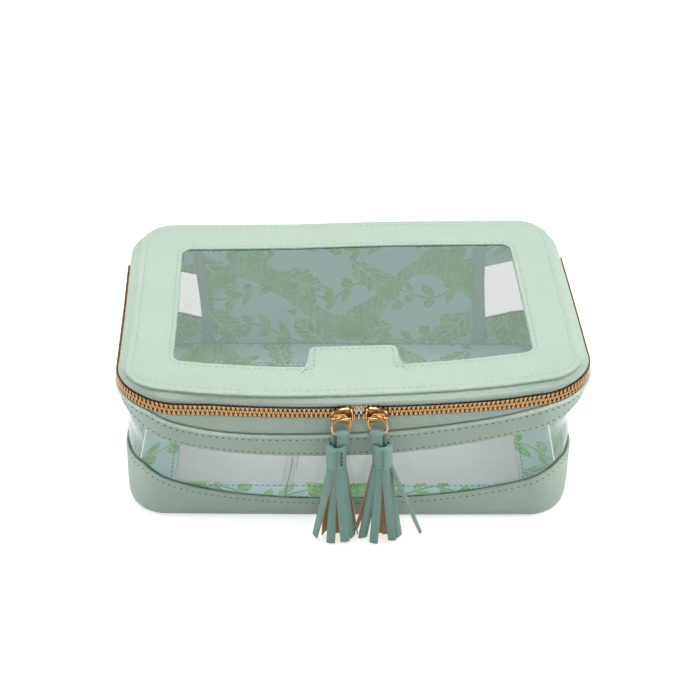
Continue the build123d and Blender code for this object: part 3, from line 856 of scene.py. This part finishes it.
LAP = -0.0887034  # where the two sheets overlap, left of the middle
for label, start, stop in (("left", -SEAM, LAP), ("right", LAP, SEAM)):
    v = np.linspace(start, stop, 240)
    low, high = height_of_skirt(v) - 6, height_of_band(v) + 4
    name = "clear_wall_sheet_" + label
    sheet = wall_sheet(name, "tub", clear_side, v, low, high, -1.15, 0.5, 20, warp=buckles)
    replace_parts(sheet, "clear_wall_" + label)
lap = np.linspace(LAP - 0.009, LAP + 0.009, 8)
strip = wall_sheet("clear_lap", "tub", clear, lap, 10.0, 60.0, -0.6, 0.45, 20, warp=buckles)
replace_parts(strip, "clear_lap_strip")

# %% [markdown]
# The lining is sewn in as one layer behind the leather of each wall, and the board of the back lies
# between the two.  Both are sheets of the wall too, set further in, so that the layers nest.

# %% Printed lining, board and seam bindings of the walls
lining_low = 3.0
for name, node, v, low, high, inset in (
    ("skirt_print", "skirt_lining", sides, lining_low, skirt_top - 0.4, -1.9),
    ("band_print", "band_lining", sides, band_low + 0.3, 84.8, -1.9),
    ("back_print", "back_lining", back_wall, lining_low, 84.4, -2.0),
):
    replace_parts(wall_sheet(name, "tub", lining_print, v, low, high, inset, 0.6, 20), node)
stiff = wall_sheet("back_board", "tub", board, back_wall, 2.5, 84.0, -1.25, 0.6, 10)
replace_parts(stiff, "back_stiffener")
for label, sign in (("left", -1), ("right", 1)):
    v = sign * np.linspace(SEAM - 0.006, SEAM + 0.007, 8)
    binding = wall_sheet("seam_tape_" + label, "tub", binding_cloth, v, lining_low, 84.0, -2.6, 0.7, 20, 0.2)
    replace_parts(binding, "seam_binding_" + label)

# %% [markdown]
# ## Floor
#
# The floor is a leather frame round a clear window, with a printed border inside.  The clear sheet
# sags slightly between its edges.


# %% Framed panels
def ring_between(inner, outer, rows):
    """A flat grid between two closed outlines with matching columns: straight lines between pairs."""
    t = rows[None, :, None]
    return inner[:, None, :] * (1 - t) + outer[:, None, :] * t


def eased(distance, radius):
    """Drop of a rounded edge: a quarter circle over the last radius millimetres before the edge."""
    near = 1 - np.clip(distance / radius, 0, 1)
    return radius * (1 - np.sqrt(1 - near**2))


def read_at(at, length, values):
    """Rows of values, given at lengths along a line, read at other lengths by straight lines."""
    return np.stack([np.interp(at, length, column) for column in values.T], -1)


def distance_to(line, points):
    """Distance from each point to the nearest point of a closed plan line, taken every 0.2 mm."""
    length = lengths(line)
    near = read_at(np.arange(0, length[-1], 0.2), length, line)
    tree = KDTree(len(near))
    for number, (x, y) in enumerate(near):
        tree.insert((x, y, 0), number)
    tree.balance()
    found = [tree.find((x, y, 0))[2] for x, y in points.reshape(-1, 2)]
    return np.array(found).reshape(points.shape[:-1])


def framed_panel(name, body, finish, inner, outer, top, thick, edge_in, edge_out, grooves=()):
    """A flat frame between two outlines, whose edges drop as quarter circles on its top face.

    Each groove is (distance, from the inner outline or the outer one, depth, width), a bell curve.
    """
    fine = np.array([0, 0.003, 0.008, 0.016, 0.03, 0.05, 0.075, 0.1, 0.125, 0.15, 0.18])
    rows = np.concatenate([fine, np.linspace(0.22, 0.78, 15), 1 - fine[::-1]])
    flat = ring_between(inner, outer, rows)
    length = np.linalg.norm(outer - inner, axis=1)[:, None]
    inside, outside = distance_to(inner, flat), (1 - rows) * length
    drop = eased(inside, edge_in) + eased(outside, edge_out)
    for distance, from_inner, deep, wide in grooves:
        gap = (inside if from_inner else outside) - distance
        drop = drop + deep * np.exp(-((gap / wide) ** 2))
    upper = np.concatenate([flat, (top - drop)[..., None]], -1)
    lower = np.concatenate([flat[:, ::-1], np.full((*flat.shape[:2], 1), top - thick)], -1)
    grid = np.concatenate([upper, lower, upper[:, :1]], 1)
    return skin(name, place_in_case(grid), body, finish, grid[..., :2].copy())


def outline(v, half, front, back, radius, bow):
    """The plan as a closed line, with one radius for all four corners."""
    x, y, _, _ = plan(v, half, front, back, radius, bow, radius)
    return np.stack([x, y], -1)


floor_outer = outline(ROUND, 124.6, 75.1, 75.1, 19.0, 0.8)
floor_hole = outline(ROUND, 103.0, 53.5, 53.5, 6.0, 0.8)
base = framed_panel("base_leather", "tub", case_leather, floor_hole, floor_outer, 1.15, 1.15, 0.3, 0.2)
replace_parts(base, "base_frame")
border_outer = outline(ROUND, 125.0, 75.5, 75.5, 19.5, 0.8)
rows = ((2.5, True, 0.25, 0.6),)
border = framed_panel("floor_print", "tub", lining_print, floor_hole, border_outer, 2.9, 0.8, 0.3, 0.2, rows)
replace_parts(border, "floor_lining", "base_stiffener")


def flat_sheet(name, body, finish, half, front, back, level, thick, sag):
    """A thin clear sheet in a frame: level at its edges, sagging and gently waved between them."""
    s, t = np.linspace(-1, 1, 70)[:, None], np.linspace(-1, 1, 50)[None, :]
    x = s * half + 0 * t
    y = (t + 1) / 2 * (front + back) - front + 0 * s
    y = y - 8.0 * (1 - s**2) * (1 - t) / 2 * (0 if level < 50 else 1)
    middle_of = (1 - s**4) * (1 - t**4)
    waves = 0.30 * np.sin(x / 17 + y / 29) + 0.22 * np.sin(x / 43 - y / 15 + 2)
    z = level + middle_of * (sag + waves)
    top, low = np.stack([x, y, z], -1), np.stack([x, y, z - thick], -1)
    grid = np.concatenate([top, low[:, ::-1], top[:, :1]], 1)
    return skin(name, place_in_case(grid), body, finish)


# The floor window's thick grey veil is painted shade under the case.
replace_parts(flat_sheet("base_clear", "tub", shaded_clear_floor, 108, 58.5, 58.5, 1.95, 0.45, -0.2), "base_window")

# %% [markdown]
# ## Lid
#
# The lid is a framed panel like the floor, with a tongue that reaches into the window from the
# middle of its front.  Two rows of stitches run round it, one near its edge and one round the window.


# %% Lid panel
def window_with_tongue(v, inset, half_width, length, corner):
    """The window's outline, with the tongue's end, rounded corners and sides worked into its front.

    The first tenth of each half walks along the tongue's end, round its corner and down its side, and
    the rest of the front runs on along the bowed edge, whose height is that of a circle.
    """
    half, front, bow = 125 - inset, 79 - inset, 8.5
    plain = half, front, 75.5 - inset, 6.0, bow
    big = (half**2 + bow**2) / (2 * bow)
    last = abs(outline(KNOTS[1:2], *plain)[0, 0])
    w = np.abs(v)
    tip = length - front - bow
    flat, bend, side = 0.05, 0.068, 0.10
    s = np.clip((w - flat) / (bend - flat), 0, 1) * math.pi / 2
    parts = [w <= flat, w <= bend, w <= side]
    x = np.select(
        parts,
        [w / flat * (half_width - corner), half_width - corner + corner * np.sin(s), half_width],
        half_width + (w - side) / (KNOTS[1] - side) * (last - half_width),
    )
    bowed = big - front - bow - np.sqrt(big**2 - np.minimum(x, last) ** 2)
    foot = big - front - bow - math.sqrt(big**2 - half_width**2)
    down = (w - bend) / (side - bend)
    y = np.select(
        parts,
        [tip, tip - corner * (1 - np.cos(s)), tip - corner + (foot - tip + corner) * down],
        bowed,
    )
    front_line = np.stack([np.where(v < 0, -x, x), y], -1)
    return np.where((w <= KNOTS[1])[:, None], front_line, outline(v, *plain))


def lid_outline(v, inset):
    """The lid's plan, drawn in on all sides by inset."""
    return outline(v, 125.0 - inset, 77.3 - inset, 75.5 - inset, 20.0 - inset, 8.5)


def denser(middle, end, inner_count, outer_count):
    """Columns from -end to end that stand closer together between -middle and middle."""
    outer = np.linspace(middle, end, outer_count)
    return np.concatenate([-outer[::-1], np.linspace(-middle, middle, inner_count)[1:-1], outer])


LID = denser(0.11, 1.0, 93, 170)
window_edge = window_with_tongue(LID, 25.5, 24.5, 17.5, 3.5)
rows = ((2.5, True, 0.3, 0.5), (4.0, False, 0.35, 0.6))
lid_top = framed_panel(
    "lid_leather", "lid", case_leather, window_edge, lid_outline(LID, 0), 100.8, 1.2, 0.7, 0.9, rows
)
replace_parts(lid_top, "lid_frame", "lid_stiffener")
lid_print = framed_panel(
    "lid_print", "lid", lining_print, window_edge, lid_outline(LID, 0.8), 99.0, 0.7, 0.2, 0.2
)
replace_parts(lid_print, "lid_lining")
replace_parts(flat_sheet("lid_clear", "lid", clear, 105, 57.5, 56, 99.45, 0.4, -0.9), "lid_window")

# %% [markdown]
# The lid has a low wall down to the zip.  Where the two meet, the leather is rolled over a thin rim,
# which is a round bar along the lid's edge.  The hinge is one strip in place of the tub's and the
# lid's hinge strips; it hangs on no body, so it stays where it is made.

# %% Lid wall, rim and hinge
lid_wall = wall_sheet("lid_wall_leather", "lid", case_leather, ROUND, 93.1, 99.9, -0.5, 1.0, 14, 1.5)
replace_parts(lid_wall, "lid_gusset")
lid_wall_print = wall_sheet("lid_wall_print", "lid", lining_print, ROUND, 95.2, 98.6, -1.9, 0.6, 6)
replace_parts(lid_wall_print, "lid_gusset_lining")
rim_turn = np.linspace(0, tau, 17)
rim_x, rim_y, rim_nx, rim_ny = (a[:, None] for a in plan(ROUND, 125.0, 77.3, 75.5, 20.0, 8.5, 20.0))
rim_out = 0.75 * np.cos(rim_turn) - 0.7
rim_z = np.broadcast_to(100.0 + 0.7 * np.sin(rim_turn), (len(ROUND), len(rim_turn)))
rim = np.stack([rim_x + rim_nx * rim_out, rim_y + rim_ny * rim_out, rim_z], -1)
rim_way = np.broadcast_to(along_wall(ROUND)[:, None], rim_z.shape)
skin("lid_rim_roll", place_in_case(rim), "lid", case_leather, np.stack([rim_way, rim_z], -1))

hinge = wall_sheet("hinge_leather", None, case_leather, back_wall, 82.6, 96.2, 0.75, 1.0, 24, 0.1)
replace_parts(hinge, "hinge_strip_lower", "hinge_strip_upper")
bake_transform(hinge)

# %% [markdown]
# ## Zip
#
# Each tooth is a small metal clip that bites the edge of its tape.  The two rows are half a pitch
# apart, so that the teeth of one row fill the gaps of the other.  Between the two sliders the zip is
# open: the rows part and the tapes show a gap.

# %% Zip tapes
PITCH = 2.54
ZIP_HEIGHT = 90.0
CHAIN_OUT = -0.9
chain_v = np.linspace(-0.64, 0.64, 4001)
chain_length = lengths(wall(chain_v, ZIP_HEIGHT, CHAIN_OUT))
chain_length -= np.interp(0, chain_v, chain_length)
OPENING = 0.8  # the middle of the gap between the sliders, from the middle of the front


def parting(distance):
    """How far a row stands from the closed chain: 1.9 mm between the sliders, 0 outside them."""
    away = np.abs(distance - OPENING)
    return 1.9 * (1 - np.clip((away - 5.5) / 7.0, 0, 1))


tape_v = denser(0.05, SEAM, 101, 150)
tape_distance = np.interp(tape_v, chain_v, chain_length)
end_rise = 1.2 * np.clip((np.abs(tape_v) - 0.614) / 0.01, 0, 1)
lower_edge = ZIP_HEIGHT - 1.3 - parting(tape_distance) + end_rise
tape_low = wall_sheet("zip_tape_cloth_lower", "tub", zip_cloth, tape_v, 79.0, lower_edge, -1.6, 0.6, 12)
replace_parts(tape_low, "zip_tape_lower")
upper_edge = ZIP_HEIGHT + 1.3 + parting(tape_distance) - end_rise
tape_high = wall_sheet("zip_tape_cloth_upper", "lid", zip_cloth, tape_v, upper_edge, 97.0, -1.6, 0.6, 8)
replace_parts(tape_high, "zip_tape_upper")


# %% [markdown]
# A row has nearly two hundred teeth, so a tooth is a small grid of a few dozen faces, worked out once.
# The whole row is one array: the tooth's points, turned to the chain's direction at each place.


# %% Zip teeth
def tooth_shape(direction):
    """One tooth: legs that clasp the tape, a waist and a head, as rounded outlines at four depths."""
    heights = np.array([-0.9, -0.65, 0.3, 0.8, 1.4, 2.0, 2.5, 2.7])
    widths = np.array([1.2, 1.8, 1.8, 1.4, 1.15, 1.5, 1.3, 0.7]) / 2
    ring_z = np.concatenate([heights, heights[::-1]])
    ring_x = np.concatenate([widths, -widths[::-1]])
    depths = np.array([-1.35, -1.1, 1.1, 1.35])
    shrink = np.array([0.62, 1.0, 1.0, 0.62])
    centre = ring_z.mean()
    x = ring_x[:, None] * shrink
    z = direction * (centre + (ring_z[:, None] - centre) * (0.8 + 0.2 * shrink))
    grid = np.stack([x, np.broadcast_to(depths, x.shape), z], -1)
    return np.concatenate([grid, grid[:1]], 0)


def chain_places(distances):
    """Points, tangents and inward normals of the zip's centreline, at ways from the middle of the front."""
    v = np.interp(distances, chain_length, chain_v)
    ahead, behind = wall(v + 1e-4, ZIP_HEIGHT, CHAIN_OUT), wall(v - 1e-4, ZIP_HEIGHT, CHAIN_OUT)
    tangent = unit(ahead - behind)
    inward = np.stack([-tangent[:, 1], tangent[:, 0], 0 * tangent[:, 0]], -1)
    return wall(v, ZIP_HEIGHT, CHAIN_OUT), tangent, inward


def teeth_row(name, body, direction, distances):
    """One tooth copied along the chain, with its two side faces closed by quads from rim to rim."""
    shape = tooth_shape(direction)
    rows, columns = shape.shape[:2]
    index = np.arange(rows * columns).reshape(rows, columns)
    half = (rows - 1) // 2
    faces = [grid_faces(rows, columns)]
    for loop, sense in ((index[:-1, 0], 1), (index[:-1, -1], -1)):
        partner = loop[::-1]
        quads = np.stack([loop[: half - 1], loop[1:half], partner[1:half], partner[: half - 1]], -1)
        faces.append(quads[:, ::sense])
    here, tangent, inward = chain_places(distances)
    here[:, 2] = ZIP_HEIGHT - direction * (2.0 + parting(distances))
    up = np.tile([0, 0, 1.0], (len(here), 1))
    points, faces = copies(shape, np.concatenate(faces), here, tangent, inward, up)
    return finish_mesh(name, place_in_case(points), faces, body, brass, smooth=False)


past_teeth = KNOTS[2] + (KNOTS[3] - KNOTS[2]) * 0.985
teeth_end = np.interp(past_teeth, chain_v, chain_length)
for name, body, direction, phase in (("lower", "tub", 1, 0.25), ("upper", "lid", -1, 0.75)):
    count = int((teeth_end - 3) / PITCH)
    distances = (np.arange(-count, count) + phase) * PITCH
    row = teeth_row("zip_teeth_row_" + name, body, direction, distances)
    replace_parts(row, "zip_teeth_" + name, "zip_stops_" + name)
    print("teeth", name, len(distances))


# %% [markdown]
# ## Stitches
#
# Each stitch is a short sunk thread, a stretched bead half buried in the leather.  A row follows a
# line at an even pitch, and the thread is a little darker than the leather.  The rows off the lid take
# a much darker copy of the thread: painted shade of the sunk needle holes.


# %% Stitch rows
def bead(length, width, height):
    """A stretched bead: an ellipse carried along its own length, with its ends drawn to points."""
    s = np.linspace(0, 1, 7)[None, :]
    a = np.linspace(0, tau, 9)[:, None]
    swell = np.sqrt(np.clip(1 - (2 * s - 1) ** 4, 0.02, 1)) / 2
    x = np.broadcast_to((s - 0.5) * length, (9, 7))
    return np.stack([x, swell * np.cos(a) * height, swell * np.sin(a) * width], -1)


def stitch_row(name, body, line, up, pitch, finish, length=2.5, width=0.62, height=0.5, place=place_in_case):
    """A row of stitches at an even pitch along a line, with up as the outward direction at its points."""
    way = lengths(line)
    count = max(int(round(way[-1] / pitch)), 2)
    at = (np.arange(count) + 0.5) * way[-1] / count
    along = unit(read_at(at + 0.3, way, line) - read_at(at - 0.3, way, line))
    outward = unit(read_at(at, way, up))
    shape = bead(length, width, height)
    faces = grid_faces(*shape.shape[:2])
    here = read_at(at, way, line)
    points, faces = copies(shape, faces, here, along, outward, np.cross(outward, along))
    return finish_mesh(name, place(points), faces, body, finish)


def wall_row(name, v, z, out, pitch, finish, body="tub", **more):
    """A row of stitches on the wall."""
    line = wall(v, z, out)
    return stitch_row(name, body, line, wall(v, z, out + 1.0) - line, pitch, finish, **more)


def flat_row(name, body, line2, z, pitch, finish, **more):
    """A row of stitches on a level face."""
    line = np.concatenate([line2, np.broadcast_to(z, len(line2))[:, None]], 1)
    return stitch_row(name, body, line, np.tile([0, 0, 1.0], (len(line), 1)), pitch, finish, **more)


def moved_out(line, distance):
    """A closed plan line moved sideways, away from its inside, by a distance."""
    way = directions(line)
    return line + distance * np.stack([way[:, 1], -way[:, 0]], -1)


front_v = np.linspace(-0.33, 0.33, 240)
for name, v, z, pitch in (
    ("skirt_stitches", sides, skirt_top - 3.4, 3.69),
    ("band_stitches_upper", front_v, height_of_seam(front_v) - 2.7, 3.69),
    ("band_stitches_lower", sides, band_low + 2.6, 3.45),
):
    wall_row(name, v, z, 0.32, pitch, shaded_thread, length=1.25, width=0.8)
flat_row("lid_edge_stitches", "lid", lid_outline(LID, 4.0), 100.5, 3.69, thread, length=2.0)
window_row = moved_out(window_edge, 2.5)
tongue_lift = 0.2 * (np.abs(LID) < 0.11)
flat_row("lid_window_stitches", "lid", window_row, 100.55 + tongue_lift, 3.48, thread, length=2.0)
flat_row("floor_stitches", "tub", outline(ROUND, 105.5, 56, 56, 8.5, 0.8), 2.75, 3.48, shaded_thread)
lap_column, lap_heights = np.full(40, LAP), np.linspace(17.5, 54, 40)
wall_row("lap_stitches", lap_column, lap_heights, -0.75, 2.95, shaded_thread, length=1.5, width=0.5)

# %% [markdown]
# ## Sliders and rings
#
# A slider is two domed plates with a bridge in front.  The plate is drawn in polar form: an outline
# that narrows towards the tail, filled by a dome.  Slider, ring and tassel are hard or hang free, so
# they don't follow the sag of the case, but stay on the joints that move them.  The ring is turned a
# little, so that the far side of its wire passes behind the bridge.


# %% Sliders and rings
def level_bar(line, radius, flatten):
    """A bar along a level line: an oval in the plane across the line's direction at each point."""
    ahead = directions(line)
    aside = unit(np.cross(ahead, [0.0, 0.0, 1.0]))
    below = np.cross(ahead, aside)
    a = np.linspace(0, tau, 13)[:, None]
    oval = aside[:, None] * np.cos(a) + below[:, None] * flatten * np.sin(a)
    return line[:, None] + radius * oval


def dome_plate(face, back):
    """A slider plate: a squarish oval that narrows to the tail, with a domed face and a raised rim."""
    a = np.linspace(0, tau, 49)[:, None]
    power = 0.72
    x = 6.4 * np.sign(np.cos(a)) * np.abs(np.cos(a)) ** power
    z = np.sign(np.sin(a)) * np.abs(np.sin(a)) ** power * (4.9 - 1.3 * x / 6.4)
    r = np.array([0, 0.3, 0.55, 0.66, 0.74, 0.8, 0.88, 0.95, 0.985, 1.0])[None, :]
    rim = np.exp(-(((r - 0.87) / 0.085) ** 2))
    depth = face + (back - face) * 0.55 * (1 - np.sqrt(1 - r**6 * 0.97)) + 0.5 - 0.95 * rim
    front = np.stack([x * r, np.broadcast_to(np.minimum(depth, back - 0.2), (49, 10)), z * r], -1)
    rear = np.stack([x * r[:, ::-1], np.full((49, 10), back), z * r[:, ::-1]], -1)
    return np.concatenate([front, rear], 1)


def bridge_line():
    """The bridge over the slider: half of a squarish oval, out from the plate, along and back."""
    t = np.linspace(0, math.pi, 40)
    x = 0.6 - 5.0 * np.sign(np.cos(t)) * np.abs(np.cos(t)) ** 0.5
    y = -2.0 - 3.75 * np.sin(t) ** 0.5
    return np.stack([x, y, 0 * t], -1)


def hung(side, points):
    """From a slider's own axes, drawn for the right-hand one, to the middle of the case in millimetres."""
    here, tangent, inward = chain_places(np.array([OPENING + side * 9.1]))
    axes = np.concatenate([tangent, inward, [[0, 0, 1.0]]])
    return here[0] + (points * [side, 1, 1]) @ axes


bar = np.array([0.6, -5.75, 0.0])
lean, yaw = math.radians(11.0), math.radians(25.0)
RING_RADIUS, WIRE = 5.6, 0.68
hang = np.array([0, -math.sin(lean), -math.cos(lean)])
ring_centre = bar + hang * (RING_RADIUS - 1.6)
low_wire = bar + hang * (2 * RING_RADIUS - 1.6)


def hung_in_case(side, points):
    """Slider, ring and tassel stay rigid: all move as one, so that the ring's low wire is at its joint."""
    anchor = hung(side, np.zeros(3))
    pivot = np.array(joints["tassel_right_swing" if side > 0 else "tassel_left_swing"]["pos_m"]) / MM
    shift = pivot - hung(side, low_wire)
    shift[0] = (settle(anchor) - anchor)[0]
    return (hung(side, points) + shift + [0, -0.3, 0]) * MM


def rotated(points, angle, first, second):
    """Turned by an angle in the plane of two of the three axes."""
    made = points.copy()
    c, s = math.cos(angle), math.sin(angle)
    made[..., first] = points[..., first] * c - points[..., second] * s
    made[..., second] = points[..., first] * s + points[..., second] * c
    return made


round_ring, round_wire = np.linspace(0, tau, 73)[:, None], np.linspace(0, tau, 13)
span = RING_RADIUS + WIRE * np.cos(round_wire)
wire_y = np.broadcast_to(WIRE * np.sin(round_wire), (73, 13))
wire = np.stack([span * np.sin(round_ring), wire_y, span * np.cos(round_ring)], -1)
wire = ring_centre + rotated(rotated(wire, -yaw, 0, 1), -lean, 1, 2)
slider_parts = [dome_plate(-3.5, -1.65), dome_plate(1.65, 2.6), level_bar(bridge_line(), 0.95, 0.8)]
for label, side in (("left", -1), ("right", 1)):
    points, faces = joined([hung_in_case(side, part) for part in slider_parts])
    slider = finish_mesh("slider_body_" + label, points, faces, "slider_" + label, gold)
    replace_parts(slider, "slider_" + label)
    ring = skin("ring_wire_" + label, hung_in_case(side, wire), "ring_" + label, gold)
    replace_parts(ring, "ring_" + label)

# %% [markdown]
# ## Tassels
#
# A tassel is a strip of leather, slit into a fringe and rolled up round the ends of a folded strap.
# The strands are flat and slightly curled, green outside and tan inside, and each hangs its own way.


# %% Tassel strap and head
def strap_grid():
    """The folded strap: a flat band carried over the wire, its two runs close together below."""
    t = np.linspace(0, 1, 40)
    arc = np.clip((t - 0.35) / 0.3, 0, 1) * math.pi
    half = 1.15 + 0.75 * np.exp(-((np.clip(np.abs(t - 0.5) - 0.15, 0, 1) / 0.12) ** 2))
    y = -half * np.cos(arc)
    run = np.where(t < 0.35, (0.35 - t), np.where(t > 0.65, t - 0.65, 0)) / 0.35
    z = 0.6 + 1.9 * np.sin(arc) - run * 13.5
    line = np.stack([-0.9 * np.cos(arc), y, z], -1)
    bent = np.gradient(line * [0, 1, 1], axis=0)
    normal = np.cross([1.0, 0, 0], unit(bent))
    s = np.array([-3.5, -3.6, -3.6, -3.5, 3.5, 3.6, 3.6, 3.5, -3.5])
    n = np.array([-0.5, -0.35, 0.35, 0.5, 0.5, 0.35, -0.35, -0.5, -0.5])
    return line[:, None] + s[:, None] * [1.0, 0, 0] + n[:, None] * normal[:, None]


HEAD_TOP, HEAD_BOTTOM, HEAD_SHIFT = -6.4, -21.5, 2.6


def head_grid(top, bottom):
    """The rolled head: a spiral of leather, so that its outer edge makes a step down its side."""
    turns = np.linspace(0, 2.2 * tau, 150)
    radius = 5.85 - 0.945 * turns / tau
    down = np.linspace(top, bottom, 12)
    heights = np.concatenate([down, down[::-1], down[:1]])
    thick = np.append(np.repeat([0.0, -0.85], 12), 0.0)
    swell = 0.18 * np.sin(np.clip((top - heights) / (top - bottom), 0, 1) * math.pi)
    r = radius[:, None] + thick + swell
    a = (turns - math.radians(60))[:, None]
    return np.stack([r * np.cos(a), r * np.sin(a), np.broadcast_to(heights, r.shape)], -1)


# %% Fringe
def strand_grid(root, tip, top, bottom, width, facing, twist, curl):
    """One strand: a flat band from root to tip (x, y), which faces a heading and turns by twist.

    It leaves the root slowly, as the 1.25th power of the way down, and bends as a sine by curl.
    """
    t = np.linspace(0, 1, 24)
    way = np.add(root, np.outer(t**1.25, np.subtract(tip, root)))
    z = top + (bottom - top) * t
    spin = facing + twist * t**1.5
    across = np.stack([-np.sin(spin), np.cos(spin), 0 * t], -1)
    outward = np.stack([np.cos(spin), np.sin(spin), 0 * t], -1)
    bend = curl * np.sin(t * math.pi * 1.2)
    centre = np.concatenate([way, z[:, None]], 1) + bend[:, None] * (outward + across * 0.6)
    spread = 0.7 + 0.3 * np.clip(t / 0.22, 0, 1) ** 0.7
    s = np.array([-0.5, -0.5, -0.25, 0, 0.25, 0.5, 0.5, 0.25, 0, -0.25, -0.5])
    n = np.array([-0.32, 0.32, 0.36, 0.38, 0.36, 0.32, -0.32, -0.36, -0.38, -0.36, -0.32])
    cupped = n - 0.3 * (2 * s) ** 2
    aside = across[:, None] * (spread[:, None] * s * width)[..., None]
    return centre[:, None] + aside + outward[:, None] * cupped[:, None]


def fringe_of(rng, front, back, bottom):
    """Strands from front and back lists of (root x, tip x, tip y, twist), hung from inside the head."""
    grids = []
    for row, depth, sense, rise in ((front, 4.3, -1, 1.2), (back, 2.2, 1, 2.0)):
        for root_x, tip_x, tip_y, twist in row:
            slant = math.asin(np.clip(root_x / 6.4, -1, 1))
            root = (root_x * 0.85, sense * depth * math.cos(slant))
            heading = sense * (math.pi / 2 - slant * 0.8)
            foot, width, curl = bottom + rng.uniform(0, 2.4), rng.uniform(4.7, 5.2), rng.uniform(-0.5, 0.6)
            top, tip = HEAD_BOTTOM + rise, (tip_x, tip_y)
            grids.append(strand_grid(root, tip, top, foot, width, heading, math.radians(twist), curl))
    return grids


def strands_mesh(name, grids, body):
    """Joins strands into one piece, green on the outer face and tan on the inner face and edges."""
    points, faces = joined(grids)
    rows, columns = grids[0].shape[:2]
    column = np.tile(np.arange(columns - 1), (rows - 1) * len(grids))
    faces, slots = [faces], [np.isin(column, [0, 5, 6, 7, 8, 9])]
    first = rows * columns * np.arange(len(grids))[:, None]
    for end, sense in ((0, 1), (rows - 1, -1)):
        pairs = np.stack([[k + 1, k + 2, 9 - k, (10 - k) % 10] for k in range(4)])
        caps = (first + end * columns)[..., None] + pairs
        faces.append(caps.reshape(-1, 4)[:, ::sense])
        slots.append(np.full(4 * len(grids), end > 0))
    faces, slots = np.concatenate(faces), np.concatenate(slots)
    return finish_mesh(name, points, faces, body, tassel_leather, slots=[tassel_back], slot_index=slots)


# %% [markdown]
# The strands of each tassel are listed by where they start and where they end, front row and back
# row, because each one hangs in its own way.  Width, length and curl vary by fixed random draws.

# %% Two tassels
LEFT_FRONT = [(-4.4, -13.2, -2.0, -25), (-1.6, -4.0, -5.5, 5), (1.6, 4.3, -6.0, -5), (4.4, 8.8, -2.5, 20)]
LEFT_BACK = [(-3.6, -8.0, 1.5, 30), (0.0, -0.6, 0.5, 10), (2.2, 7.0, 3.5, -20), (3.8, 11.6, 2.0, -50)]
RIGHT_FRONT = [(-4.4, -10.4, -2.0, 50), (-1.7, -4.4, -6.2, -5), (1.7, 6.6, -6.0, -12), (4.2, 10.8, -3.0, 15)]
RIGHT_BACK = [(-4.2, -14.5, 3.5, 25), (-1.0, -1.0, 1.0, 0), (1.6, 3.4, 0.5, 12), (4.6, 8.6, 2.0, -40)]
for label, side, front, back in (("left", -1, LEFT_FRONT, LEFT_BACK), ("right", 1, RIGHT_FRONT, RIGHT_BACK)):

    def hanging(points, outward=HEAD_SHIFT, side=side):
        """From the ring's low wire, where the tassel hangs, to its place in the case."""
        return hung_in_case(side, low_wire + points + [outward, -0.3, 0])

    body = "tassel_" + label
    strap = skin("strap_" + label, hanging(rotated(strap_grid(), -yaw, 0, 1), 0.5), body, tassel_leather)
    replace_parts(strap, "tassel_strap_" + label)
    rolled = rotated(head_grid(HEAD_TOP, HEAD_BOTTOM), -yaw, 0, 1)
    head = skin("head_" + label, hanging(rolled), body, tassel_leather)
    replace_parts(head, "tassel_head_" + label)
    rng = np.random.default_rng(11 + side)
    grids = fringe_of(rng, front, back, 1.5 - ZIP_HEIGHT - low_wire[2])
    if side > 0:
        stray = ((4.6, -2.5), (23.0, -7.0), HEAD_BOTTOM + 3, -70.0, 2.6, math.radians(-60), 0.6, 0.8)
        grids.append(strand_grid(*stray))
    # The left slider's axes are mirrored, so its strands are mirrored back.
    fringe = strands_mesh("strands_" + label, [hanging(g * [side, 1, 1]) for g in grids], body)
    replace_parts(fringe, "tassel_strands_" + label)
    if side < 0:
        height = np.linspace(HEAD_TOP - 1.6, HEAD_TOP - 12.6, 12)
        around = math.radians(-62)
        spot = np.array([-math.cos(around), math.sin(around), 0])
        line = low_wire + [HEAD_SHIFT, 0, 0] + 5.95 * spot + height[:, None] * [0, 0, 1]
        up = np.tile(spot, (12, 1))
        more = {"length": 1.9, "width": 1.3, "height": 0.8, "place": lambda p: hung_in_case(side, p)}
        stitch_row("head_stitches", body, line, up, 2.7, shaded_thread, **more)
